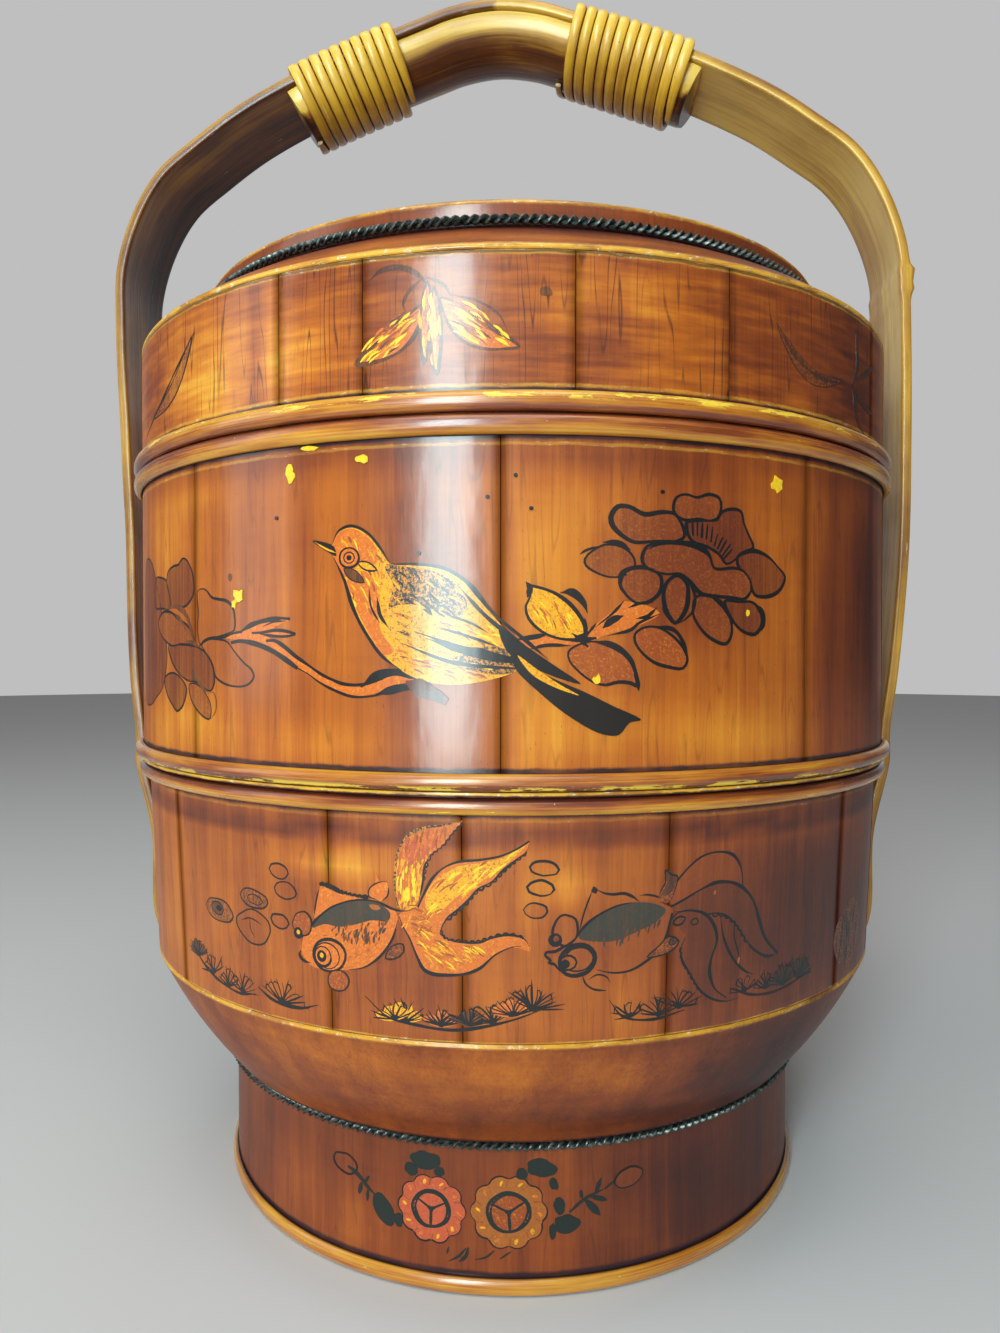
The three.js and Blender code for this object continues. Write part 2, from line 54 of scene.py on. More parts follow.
# Camera, fitted to the photograph's 1000 x 1333 frame
CAMERA_DISTANCE = 358.2 * MM
CAMERA_HEIGHT = 179.4 * MM
FOCAL_PIXELS = 931
FRAME_WIDTH_PIXELS = 1000
FRAME_HEIGHT_PIXELS = 1333
AXIS_COLUMN = 511
HORIZON_ROW = 651.9
SENSOR = 36


def camera_turn():
    """The camera's rotation: it looks along +Y, a little aside and up or down."""
    yaw = math.atan((AXIS_COLUMN - FRAME_WIDTH_PIXELS / 2) / FOCAL_PIXELS)
    pitch = math.atan((HORIZON_ROW - FRAME_HEIGHT_PIXELS / 2) / FOCAL_PIXELS)
    return Euler((math.pi / 2 + pitch, 0, yaw))


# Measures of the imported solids

def corners(node):
    """Every vertex of a CAD node as (distance from the axis, height)."""
    return [(math.hypot(v.co.x, v.co.y), v.co.z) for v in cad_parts[node].data.vertices]


def ring_of(node):
    """Inner radius, outer radius, base and top of a turned CAD node."""
    points = corners(node)
    radii = [radius for radius, _ in points]
    levels = [level for _, level in points]
    return min(radii), max(radii), min(levels), max(levels)


def radius_at(node, level, reach=0.05 * MM):
    """Outer radius of a CAD node at the level of one of its edges."""
    return max(radius for radius, z in corners(node) if abs(z - level) < reach)


def span_of(node):
    """Start and end bearing of a stave, measured from the front towards +X."""
    turns = sorted(
        math.atan2(v.co.x, -v.co.y) % math.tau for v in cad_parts[node].data.vertices
    )
    gaps = [(b - a, i) for i, (a, b) in enumerate(zip(turns, turns[1:] + [turns[0] + math.tau]))]
    _, widest = max(gaps)
    start = turns[(widest + 1) % len(turns)]
    end = turns[widest]
    return start, end if end > start else end + math.tau


# Meshes

def add_object(name, data):
    """An object in the scene's own collection."""
    obj = bpy.data.objects.new(name, data)
    bpy.context.scene.collection.objects.link(obj)
    return obj


def add_piece(name, vertices, faces, material, body, replaces=(), values=None):
    """A closed mesh that rides on a body, with one value per vertex for each named attribute."""
    mesh = bpy.data.meshes.new(name)
    mesh.from_pydata(vertices, [], faces)
    bm = bmesh.new()
    bm.from_mesh(mesh)
    bmesh.ops.recalc_face_normals(bm, faces=bm.faces)
    for face in bm.faces:
        face.smooth = True
    for edge in bm.edges:
        edge.smooth = len(edge.link_faces) == 2 and edge.calc_face_angle() < CREASE
    bm.to_mesh(mesh)
    bm.free()
    for key, numbers in (values or {}).items():
        if isinstance(numbers[0], (tuple, list)):
            attribute = mesh.attributes.new(key, "FLOAT_COLOR", "POINT")
            attribute.data.foreach_set("color", [x for number in numbers for x in number])
        else:
            attribute = mesh.attributes.new(key, "FLOAT", "POINT")
            attribute.data.foreach_set("value", numbers)
    mesh.materials.append(material)
    obj = add_object(name, mesh)
    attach(obj, body)
    if replaces:
        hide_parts(*replaces)
    return obj


def rounded(profile, radius, steps=4):
    """A closed profile with its corners rounded off."""
    points = []
    count = len(profile)
    for i in range(count):
        corner = Vector(profile[i])
        before = Vector(profile[i - 1]) - corner
        after = Vector(profile[(i + 1) % count]) - corner
        cut = min(radius, before.length / 2, after.length / 2)
        start = corner + before.normalized() * cut
        end = corner + after.normalized() * cut
        for k in range(steps + 1):
            t = k / steps
            points.append(tuple(start * (1 - t) ** 2 + corner * 2 * t * (1 - t) + end * t * t))
    return points


def finely(profile, step):
    """A closed profile with points added so that none lie further apart than step."""
    points = []
    for (r0, z0), (r1, z1) in zip(profile, profile[1:] + profile[:1]):
        parts = max(1, math.ceil(math.hypot(r1 - r0, z1 - z0) / step))
        points += [(r0 + (r1 - r0) * k / parts, z0 + (z1 - z0) * k / parts) for k in range(parts)]
    return points


def at_bearing(radius, turn, level):
    """A point at a distance from the axis, its bearing counted from the front towards +X."""
    return (radius * math.sin(turn), -radius * math.cos(turn), level)


def tube(stations, closed=False):
    """Vertices and faces along stations that each hold a ring of points."""
    count = len(stations[0])
    vertices = [point for station in stations for point in station]
    faces = []
    for i in range(len(stations) if closed else len(stations) - 1):
        a, b = i * count, (i + 1) % len(stations) * count
        faces += [(a + k, a + (k + 1) % count, b + (k + 1) % count, b + k) for k in range(count)]
    if not closed:
        faces.append(tuple(range(count)))
        faces.append(tuple(range(len(vertices) - count, len(vertices))))
    return vertices, faces


def turned(profile, start=0, end=math.tau, seam_round=0):
    """Vertices and faces of a profile turned about the axis, whole or between two bearings. Ends
    are rounded by seam_round on the outside."""
    whole = end - start >= math.tau - 1e-6
    steps = max(6, round(AROUND * (end - start) / math.tau))
    bearings = [(start + (end - start) * i / steps, 0) for i in range(steps if whole else steps + 1)]
    outer = max(radius for radius, _ in profile)
    if seam_round:
        inset = seam_round / outer
        bearings[0] = (start, seam_round)
        bearings[-1] = (end, seam_round)
        bearings.insert(1, (start + inset, 0))
        bearings.insert(-1, (end - inset, 0))
    middle = (outer + min(radius for radius, _ in profile)) / 2
    stations = []
    for turn, pull in bearings:
        stations.append([
            at_bearing(radius - (pull if radius > middle else 0), turn, level) for radius, level in profile
        ])
    return tube(stations, closed=whole)


def ring_profile(node, edge):
    """The section of a plain ring, with its corners rounded off."""
    inner, outer, base, top = ring_of(node)
    return rounded([(inner, base), (outer, base), (outer, top), (inner, top)], edge)


def smooth_line(points, spacing, closed=False):
    """A centripetal Catmull-Rom line through points, at about that spacing."""
    points = [Vector(p) for p in points]
    if closed:
        padded = [points[-1], *points, points[0], points[1]]
    else:
        padded = [points[0] * 2 - points[1], *points, points[-1] * 2 - points[-2]]
    line = []
    for p0, p1, p2, p3 in zip(padded, padded[1:], padded[2:], padded[3:]):
        d0, d1, d2 = ((b - a).length ** 0.5 or 1e-6 for a, b in ((p0, p1), (p1, p2), (p2, p3)))
        m1 = ((p1 - p0) / d0 - (p2 - p0) / (d0 + d1) + (p2 - p1) / d1) * d1
        m2 = ((p2 - p1) / d1 - (p3 - p1) / (d1 + d2) + (p3 - p2) / d2) * d1
        parts = max(1, math.ceil((p2 - p1).length / spacing))
        for k in range(parts):
            t = k / parts
            line.append(
                p1 * (1 + t * t * (2 * t - 3)) + p2 * (t * t * (3 - 2 * t))
                + m1 * (t * (1 - t) ** 2) + m2 * (t * t * (t - 1))
            )
    if not closed:
        line.append(points[-1])
    return line


def smoothstep(low, high, x):
    """From 0 at low to 1 at high, with soft ends. low may be the greater."""
    t = min(max((x - low) / (high - low), 0), 1)
    return t * t * (3 - 2 * t)


# Materials

class Graph:
    """Short calls for the nodes of one material or world."""

    def __init__(self, owner, shader="Principled BSDF"):
        owner.use_nodes = True
        self.tree = owner.node_tree
        self.shader = self.tree.nodes[shader]

    def node(self, kind, inputs, **settings):
        """A node with its inputs, by number or name, and its settings."""
        made = self.tree.nodes.new(kind)
        for key, value in settings.items():
            setattr(made, key, value)
        for key, value in inputs.items():
            self.put(made.inputs[key], value)
        return made

    def put(self, socket, value):
        """Links a socket to another, or gives it a value."""
        if isinstance(value, bpy.types.NodeSocket):
            self.tree.links.new(value, socket)
        else:
            socket.default_value = value

    def set(self, **inputs):
        """The shader's own inputs, with _ for each space in a name."""
        for key, value in inputs.items():
            self.put(self.shader.inputs[key.replace("_", " ")], value)

    def maths(self, operation, a, b=0.0):
        return self.node("ShaderNodeMath", {0: a, 1: b}, operation=operation).outputs[0]

    def plus(self, a, b):
        return self.maths("ADD", a, b)

    def times(self, a, b):
        return self.maths("MULTIPLY", a, b)

    def swing(self, grain, amount):
        """A noise as a change of up to half the amount either way."""
        return self.times(self.maths("SUBTRACT", grain, 0.5), amount)

    def place(self, scale):
        """Object coordinates in millimetres times a scale for each axis."""
        coordinates = self.node("ShaderNodeTexCoord", {}).outputs["Object"]
        return self.vector("MULTIPLY", coordinates, tuple(s / MM for s in scale))

    def vector(self, operation, a, b):
        return self.node("ShaderNodeVectorMath", {0: a, 1: b}, operation=operation).outputs[0]

    def noise(self, vector, detail, roughness):
        inputs = {"Vector": vector, "Scale": 1.0, "Detail": detail, "Roughness": roughness}
        return self.node("ShaderNodeTexNoise", inputs).outputs["Fac"]

    def grain(self, scale, detail, roughness, shift=None):
        """A noise with a scale for each axis, in turns per millimetre."""
        vector = self.place(scale)
        if shift is not None:
            vector = self.vector("ADD", vector, shift)
        return self.noise(vector, detail, roughness)

    def attribute(self, name, output="Fac"):
        return self.node("ShaderNodeAttribute", {}, attribute_name=name).outputs[output]

    def between(self, value, low, high, to_low=0.0, to_high=1.0):
        """A soft step as the value goes from low to high."""
        inputs = {0: value, 1: low, 2: high, 3: to_low, 4: to_high}
        return self.node("ShaderNodeMapRange", inputs, interpolation_type="SMOOTHSTEP").outputs[0]

    def ramp(self, value, stops):
        made = self.node("ShaderNodeValToRGB", {0: value})
        elements = made.color_ramp.elements
        while len(elements) < len(stops):
            elements.new(0.5)
        for element, (position, color) in zip(elements, stops):
            element.position = position
            element.color = (*color, 1)
        return made.outputs[0]

    def mix(self, factor, a, b):
        a = (*a, 1) if isinstance(a, tuple) else a
        b = (*b, 1) if isinstance(b, tuple) else b
        return self.node("ShaderNodeMix", {0: factor, 6: a, 7: b}, data_type="RGBA").outputs[2]

    def bump(self, height, distance, normal=None):
        inputs = {"Height": height, "Distance": distance, "Strength": 1.0}
        if normal is not None:
            inputs["Normal"] = normal
        return self.node("ShaderNodeBump", inputs).outputs[0]


SOOT = (0.010, 0.006, 0.006)
PLUM = (0.018, 0.008, 0.013)
UMBER = (0.034, 0.010, 0.008)
OXBLOOD = (0.100, 0.020, 0.009)
RUSSET = (0.235, 0.048, 0.010)
AMBER = (0.420, 0.105, 0.011)
HONEY = (0.580, 0.190, 0.016)
GOLDEN = (0.720, 0.360, 0.035)
STRAW = (0.800, 0.520, 0.090)
CHALK = (0.740, 0.680, 0.540)


def lacquer(name, painted=False, dirt_and_shade=(), gold=(), gloss=0.34, fibre=0.2, streak=0.46, curl=0.06,
            cloud=0.3, hair=0.3, coat=0.7, jointed=False):
    """Translucent lacquer over upright grain. Where it is thin the wood shows through as amber.
    dirt_and_shade and gold are (level, half width, strength) lines along the wall, in metres; the
    dirt_and_shade lines sit at the joints beside hoops, rims and collars and are painted shade with
    some grime. fibre to hair are the strengths of the grain's fibres, streaks, curls, clouds and dark
    hairs. jointed is for walls of staves, whose seams are dark and dull."""
    material = bpy.data.materials.new(name)
    g = Graph(material)
    shift = g.attribute("shift")
    fibres = g.grain((1.3, 1.3, 0.03), 4.0, 0.6, shift)
    streaks = g.grain((0.16, 0.16, 0.006), 3.0, 0.6, shift)
    curls = g.grain((0.05, 0.05, 0.40), 3.0, 0.55, shift)
    clouds = g.grain((0.035, 0.035, 0.03), 3.0, 0.55, shift)
    # thin holds the wall's tone, which includes painted shade on the side away from the lamps.
    tone = g.attribute("thin")
    for grain, amount in ((fibres, fibre), (streaks, streak), (curls, curl), (clouds, cloud)):
        tone = g.plus(tone, g.swing(grain, amount))
    wood = g.ramp(tone, (
        (0.0, UMBER), (0.2, OXBLOOD), (0.42, RUSSET), (0.62, AMBER), (0.8, HONEY), (1.0, GOLDEN),
    ))
    growth = g.grain((0.13, 0.13, 0.008), 2.0, 0.55, shift)
    rings = g.maths("FRACT", g.times(growth, 11.0))
    line = g.maths("ABSOLUTE", g.maths("SUBTRACT", rings, 0.5))
    broken = g.grain((0.1, 0.1, 0.03), 3.0, 0.6, shift)
    kept = g.between(broken, 0.40, 0.60, 0.1 * hair, hair)
    wood = g.mix(g.times(g.between(line, 0.0, 0.12, 1, 0), kept), wood, UMBER)
    pores = g.grain((2.4, 2.4, 0.9), 2.0, 0.5)
    wood = g.mix(g.between(pores, 0.69, 0.75, 0, 0.5), wood, UMBER)
    wobble = g.grain((0.14, 0.14, 0.14), 4.0, 0.7)
    level = g.node("ShaderNodeSeparateXYZ", {0: g.place((1, 1, 1))}).outputs[2]
    level = g.plus(level, g.swing(wobble, 1.1))
    worn = g.grain((0.06, 0.06, 0.3), 5.0, 0.65)
    # The PLUM lines are painted shade at the joints, with some grime.
    for color, lines, least in ((GOLDEN, gold, 0.35), (PLUM, dirt_and_shade, 0.8)):
        rubbed = g.between(worn, 0.36, 0.56, least, 1)
        for line_level, half, strength in lines:
            away = g.maths("ABSOLUTE", g.maths("SUBTRACT", level, line_level / MM))
            mask = g.between(away, half * 0.3 / MM, half / MM, strength, 0)
            if color is GOLDEN:
                mask = g.times(mask, g.between(tone, 0.0, 0.4, 0.25, 1))
            wood = g.mix(g.times(mask, rubbed), wood, color)
            if color is GOLDEN:
                chips = g.between(g.grain((0.5, 0.5, 1.1), 4.0, 0.7), 0.6, 0.64, 0, 0.8)
                wood = g.mix(g.times(mask, chips), wood, CHALK)
    if jointed:
        seam = g.attribute("seam")
        wood = g.mix(g.times(seam, 0.9), wood, SOOT)
    if painted:
        speck = g.grain((1.5, 1.5, 1.5), 5.0, 0.8)
        flake = g.maths("SUBTRACT", speck, g.attribute("under", "Alpha"))
        kept = g.between(flake, -0.03, 0.03)
        paint = g.mix(kept, g.attribute("under", "Color"), g.attribute("paint", "Color"))
        cover = g.attribute("paint", "Alpha")
        sheer = g.between(cover, 0.72, 0.95, 0.40, 0)
        showing = g.times(g.between(fibres, 0.42, 0.6), sheer)
        paint = g.mix(showing, paint, wood)
        brushed = g.grain((0.9, 0.9, 0.9), 4.0, 0.65)
        paint = g.mix(g.between(brushed, 0.45, 0.65, 0, 0.3), paint, g.mix(0.6, paint, UMBER))
        wood = g.mix(cover, wood, paint)
    waves = g.grain((0.13, 0.13, 0.05), 2.0, 0.5)
    normal = g.bump(waves, 0.12 * MM)
    normal = g.bump(fibres, 0.025 * MM, normal)
    dust = g.grain((1.7, 1.7, 1.7), 3.0, 0.7)
    normal = g.bump(dust, 0.012 * MM, normal)
    rough = g.plus(g.times(dust, 0.2), gloss - 0.1)
    facing = g.node("ShaderNodeLayerWeight", {"Blend": 0.5}).outputs["Facing"]
    share = g.between(facing, 0.3, 0.85, 1, 0.22)
    if jointed:
        rough = g.plus(rough, g.times(seam, 0.5))
        share = g.times(share, g.between(seam, 0, 0.6, 1, 0))
    g.set(Base_Color=wood, Roughness=rough, Normal=normal, Coat_Roughness=0.15)
    g.set(Specular_IOR_Level=g.times(share, 0.2), Coat_Weight=g.times(share, coat))
    g.set(Coat_Normal=g.bump(dust, 0.010 * MM, g.bump(waves, 0.1 * MM)))
    return material


def gilt(name, bright, tilt, chips, chip_side, chip_foot=-0.1):
    """Split bamboo under worn gilt lacquer, with its grain running round the hoop. tilt lightens
    the upper half, and darkens it where negative: partly the gilt's own worn tone, partly painted
    light on the top and painted shade underneath. chips is the threshold of the flakes, chip_side
    the half that has them and chip_foot where they begin. The edges, where the hoop meets the wall,
    are darkened with painted shade and some grime."""
    material = bpy.data.materials.new(name)
    g = Graph(material)
    grain = g.grain((0.02, 0.02, 2.2), 4.0, 0.6)
    patch = g.grain((0.03, 0.03, 0.35), 4.0, 0.6)
    rise = g.attribute("rise")
    # Partly painted light on the upper half and painted shade on the lower half.
    tone = g.plus(g.times(rise, tilt), bright)
    tone = g.plus(tone, g.swing(grain, 0.55))
    tone = g.plus(tone, g.swing(patch, 0.8))
    color = g.ramp(tone, (
        (0.0, UMBER), (0.22, OXBLOOD), (0.42, RUSSET), (0.58, (0.44, 0.14, 0.013)),
        (0.76, (0.60, 0.27, 0.02)), (0.95, GOLDEN),
    ))
    flakes = g.grain((0.075, 0.075, 0.5), 6.0, 0.68)
    place = g.between(g.times(rise, chip_side), chip_foot, chip_foot + 0.5)
    flaked = g.times(g.between(flakes, chips, chips + 0.015), place)
    color = g.mix(flaked, color, (0.86, 0.55, 0.040))
    bare = g.grain((0.45, 0.45, 0.8), 5.0, 0.7)
    bared = g.between(bare, 0.70, 0.72)
    color = g.mix(bared, color, CHALK)
    # Painted shade, with some grime, at the hoop's edges where it meets the wall.
    groove = g.between(g.attribute("crest"), 0.05, 0.45, 0.92, 0)
    color = g.mix(groove, color, SOOT)
    normal = g.bump(grain, 0.1 * MM)
    normal = g.bump(g.plus(flaked, bared), -0.08 * MM, normal)
    rough = g.plus(g.times(flaked, 0.2), 0.26)
    g.set(Base_Color=color, Roughness=rough, Normal=normal, Coat_Weight=0.6, Coat_Roughness=0.14)
    return material


def bamboo(name, light, dark):
    """Varnished bamboo with fibres that run along the piece."""
    material = bpy.data.materials.new(name)
    g = Graph(material)
    along, across = g.attribute("along"), g.attribute("across")
    depth = g.attribute("depth")

    def grain(lengthways, sideways, detail):
        vector = g.node("ShaderNodeCombineXYZ", {
            0: g.times(along, lengthways / MM),
            1: g.times(across, sideways / MM),
            2: g.times(depth, sideways / MM),
        })
        return g.noise(vector.outputs[0], detail, 0.6)

    fibre = grain(0.02, 1.5, 5.0)
    streak = grain(0.012, 0.22, 4.0)
    patch = g.grain((0.03, 0.06, 0.03), 4.0, 0.6)
    tone = g.plus(g.times(fibre, 0.4), g.times(streak, 0.75))
    tone = g.plus(tone, g.times(patch, 0.6))
    # The shade attribute is painted shade and painted light from how the handle is lit, plus the pad's
    # worn bright corners.
    tone = g.maths("SUBTRACT", tone, g.plus(g.times(g.attribute("shade"), 0.6), 0.12))
    color = g.ramp(tone, ((0.12, UMBER), (0.38, dark), (0.72, light), (1.0, STRAW)))
    scuff = g.grain((0.5, 1.1, 0.5), 5.0, 0.75)
    color = g.mix(g.between(scuff, 0.66, 0.70, 0, 0.5), color, UMBER)
    scratch = g.between(grain(0.05, 0.8, 6.0), 0.70, 0.72, 0, 0.6)
    color = g.mix(scratch, color, CHALK)
    normal = g.bump(fibre, 0.08 * MM)
    normal = g.bump(streak, 0.15 * MM, normal)
    rough = g.plus(g.times(scuff, 0.25), 0.2)
    g.set(Base_Color=color, Roughness=rough, Normal=normal, Coat_Weight=0.25, Coat_Roughness=0.2)
    return material


def wire(name):
    """Blackened metal, rubbed lighter in places."""
    material = bpy.data.materials.new(name)
    g = Graph(material)
    grime = g.grain((0.7, 0.7, 0.7), 4.0, 0.65)
    color = g.ramp(grime, (
        (0.35, (0.022, 0.028, 0.026)), (0.55, (0.09, 0.105, 0.095)), (0.75, (0.34, 0.34, 0.29)),
    ))
    rough = g.plus(g.times(grime, 0.3), 0.2)
    g.set(Base_Color=color, Roughness=rough, Metallic=0.75, Normal=g.bump(grime, 0.05 * MM))
    return material


def bare_wood(name):
    """Stained wood without lacquer, for the parts inside."""
    material = bpy.data.materials.new(name)
    g = Graph(material)
    grain = g.grain((0.035, 0.6, 0.25), 5.0, 0.62)
    bands = g.grain((0.01, 0.12, 0.05), 3.0, 0.6)
    tone = g.plus(g.times(grain, 0.5), g.times(bands, 0.5))
    color = g.ramp(tone, ((0.35, (0.2, 0.09, 0.035)), (0.5, (0.36, 0.19, 0.08)), (0.68, (0.5, 0.3, 0.14))))
    g.set(Base_Color=color, Roughness=0.55, Normal=g.bump(grain, 0.1 * MM))
    return material


def dark_glue(name):
    """What shows at the bottom of the open seams."""
    material = bpy.data.materials.new(name)
    g = Graph(material)
    crumbs = g.grain((1.2, 1.2, 0.6), 3.0, 0.6)
    color = g.ramp(crumbs, ((0.3, SOOT), (0.7, UMBER)))
    g.set(Base_Color=color, Roughness=0.7, Normal=g.bump(crumbs, 0.1 * MM))
    return material


# Levels and radii of the walls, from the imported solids

STAVE_COUNT = {"upper": 9, "lower": 12, "lid": 12}
_, FOOT_RADIUS, _, FOOT_TOP = ring_of("foot_ring")
_, _, BEVEL_BASE, ARRIS = ring_of("lower_bevel")
WAIST_RADIUS = radius_at("lower_bevel", BEVEL_BASE)
ARRIS_RADIUS = radius_at("lower_bevel", ARRIS)
_, _, LOWER_BASE, LOWER_TOP = ring_of("lower_stave_01")
RIM_RADIUS = max(
    radius_at(f"lower_stave_{i + 1:02d}", LOWER_TOP) for i in range(STAVE_COUNT["lower"])
)
LOWER_MIDDLE = (RIM_RADIUS + ARRIS_RADIUS) / 2
_, BODY_RADIUS, UPPER_BASE, UPPER_TOP = ring_of("upper_stave_01")
_, _, LID_BASE, LID_ARRIS = ring_of("lid_stave_01")
COLLAR_BORE, COLLAR_RADIUS, COLLAR_BASE, COLLAR_TOP = ring_of("lid_collar")
SHOULDER_BORE, _, SHOULDER_BASE, SHOULDER_TOP = ring_of("lid_shoulder")
HOOPS = {node: ring_of(node) for node in (
    "foot_hoop", "lower_hoop", "upper_base_hoop", "upper_mouth_hoop", "lid_hoop",
)}


def lower_radius(level):
    """Outer radius of the lower tier's wall, which widens towards its rim."""
    share = (level - LOWER_BASE) / (LOWER_TOP - LOWER_BASE)
    return ARRIS_RADIUS + (RIM_RADIUS - ARRIS_RADIUS) * share


# Where the lacquer is thin, and so lighter, or darker: (along, level, half width, half height,
# amount), along the wall from the front line, in millimetres. The large dark patches towards +X,
# at along 60 to 130, are painted shade on the side turned away from the lamps, over darker lacquer.
THIN_AND_SHADED_PATCHES = {
    "upper": (
        (-134, 216, 12, 20, 0.02), (-112, 216, 14, 14, 0.10), (-118, 158, 16, 10, 0.16),
        (-96, 160, 14, 10, 0.16), (-92, 224, 18, 6, 0.14), (-50, 156, 30, 6, 0.12),
        (-21, 190, 13, 60, -0.26), (12, 206, 12, 15, 0.18), (10, 166, 12, 14, 0.16),
        (74, 204, 9, 26, 0.04), (98, 190, 22, 60, -0.12), (38, 160, 34, 7, 0.14), (66, 156, 16, 5, 0.10),
        (24, 226, 30, 5, -0.16), (46, 204, 22, 22, -0.14), (60, 222, 16, 6, -0.04),
        (82, 176, 14, 20, 0.06), (128, 190, 22, 60, -0.42), (96, 190, 8, 40, -0.08),
        (-78, 196, 9, 30, -0.05), (-132, 180, 10, 16, -0.16), (44, 196, 22, 18, -0.12),
        (-60, 228, 30, 5, -0.12),
    ),
    "lower": (
        (-48, 125, 15, 3.5, 0.32), (14, 121, 9, 5, 0.20), (-104, 120, 18, 14, 0.06),
        (20, 92, 16, 8, 0.08), (-118, 92, 20, 14, 0.06), (120, 105, 34, 40, -0.42),
        (-26, 100, 14, 14, -0.10), (66, 104, 28, 30, -0.32), (14, 104, 14, 20, -0.08),
        (34, 124, 16, 6, 0.04), (-84, 90, 16, 10, -0.04), (92, 133, 34, 4, 0.14),
        (90, 110, 12, 30, -0.08),
    ),
    "bevel": (
        (14, 72, 34, 7, 0.20), (-50, 74, 26, 6, 0.14), (0, 52, 60, 6, -0.10), (-84, 62, 16, 14, -0.10),
        (84, 62, 48, 30, -0.38), (-20, 60, 10, 10, 0.06), (30, 68, 8, 6, 0.08),
    ),
    "foot": (
        (20, 22, 12, 14, 0.02), (-44, 14, 12, 12, 0.14), (-72, 22, 12, 16, 0.06), (70, 22, 40, 26, -0.28),
        (-58, 30, 6, 14, -0.08), (-84, 34, 10, 10, -0.10), (34, 14, 10, 8, 0.06),
    ),
    "lid": (
        (-58, 255, 13, 11, 0.34), (-88, 253, 13, 14, 0.32), (-106, 258, 10, 14, 0.16),
        (-70, 254, 2.4, 30, -0.26), (-128, 262, 14, 12, -0.12), (14, 264, 7, 6, 0.20),
        (34, 264, 7, 8, 0.14), (-12, 258, 24, 20, 0.04), (44, 246, 22, 4, 0.10), (66, 258, 18, 16, -0.06),
        (116, 258, 24, 24, -0.26), (22, 256, 5, 10, -0.06), (88, 258, 12, 10, -0.06),
    ),
    "shoulder": (
        (-70, 280, 50, 4, 0.16), (20, 282, 60, 3, 0.10), (30, 287, 20, 3, -0.2), (80, 284, 30, 6, -0.14),
    ),
}
BASE_TONE = {
    "upper": 0.60, "lower": 0.55, "bevel": 0.44, "foot": 0.36, "lid": 0.52, "shoulder": 0.40,
    "collar": 0.36,
}
# Darker brush bands: (foot of the band, where it is whole, strength), in millimetres
BANDS = {
    "upper": ((222, 229, -0.10),), "lower": ((130.4, 133.0, -0.26), (134.0, 136.4, 0.18)),
    "lid": ((270, 276, -0.04),),
}


def tone_with_painted_shade(wall, along, level):
    """The tone at a place on a wall: lighter where the lacquer is thin, which makes it lighter, darker
    where it is thick, and darker with painted shade towards +X.
    """
    value = BASE_TONE[wall]
    for s, h, half_width, half_height, amount in THIN_AND_SHADED_PATCHES.get(wall, ()):
        away = ((along / MM - s) / half_width) ** 2 + ((level / MM - h) / half_height) ** 2
        value += amount * math.exp(-away)
    ragged = 1.6 * noise.noise(Vector((along / MM * 0.07, level / MM * 0.02, 0)))
    for foot, whole, strength in BANDS.get(wall, ()):
        value += strength * smoothstep(foot + ragged, whole + ragged, level / MM)
    return value


def bearing_of(x, y):
    """Bearing from the front towards +X, within half a turn either way."""
    return math.atan2(x, -y)


# Tone and grain offset of each stave: (start bearing, end bearing, tone, shift) by wall
STAVES = {"upper": [], "lower": [], "lid": []}
STAVE_TONES = {
    "upper": (0.02, 0.0, -0.03, 0.01, 0.03, -0.02, 0.0, 0.01, -0.02),
    "lower": (0.0, 0.02, -0.02, 0.0, -0.03, 0.02, 0.0, 0.01, -0.02, 0.03, 0.01, -0.01),
    "lid": (-0.04, -0.08, 0.02, -0.03, -0.05, 0.02, 0.0, -0.02, 0.03, -0.01, 0.0, 0.05),
}


def stave_at(wall, turn):
    """Tone and grain offset of the stave at a bearing from the front."""
    for start, end, tone, shift in STAVES.get(wall, ()):
        if (turn - start) % math.tau <= (end - start):
            return tone, shift
    return 0.0, 0.0


def wall_values(wall, vertices, tone=0.0, shift=0.0, seam=None):
    """Attributes of a lacquered wall's vertices."""
    thin = []
    for x, y, z in vertices:
        along = bearing_of(x, y) * math.hypot(x, y)
        thin.append(tone_with_painted_shade(wall, along, z) + tone)
    unmarked = [0.0] * len(vertices)
    return {"thin": thin, "shift": [shift] * len(vertices), "seam": seam or unmarked}


# Walls

STAVE_ROUND = 0.16 * MM
SEAM_CLOSING = 0.09 * MM  # how far each stave grows into the open joint beside it
FINE = 2.6 * MM  # the longest step between a wall's vertices up its profile
EDGE_SHADE = 0.6  # how far a stave's rounded edge shares its seam's dullness
STAVE_SHIFT = 37.0  # how far the grain is moved from one stave to the next
BEVEL_SWELL = 1.4 * MM
SHOULDER_SWELL = 0.7 * MM
ARRIS_ROUND = 0.9 * MM
FOOT_ROUND = 0.8 * MM
COLLAR_ROUND = 1.6 * MM
BOARD_ROUND = 0.6 * MM
FLOOR_ROUND = 0.4 * MM
STRIP_ROUND = 0.3 * MM
BED_DEPTHS = (1 * MM, 2 * MM)  # how deep in the wall the hoop of glue begins and ends
BED_INSET = 0.5 * MM  # how far it stays below the wall's edges


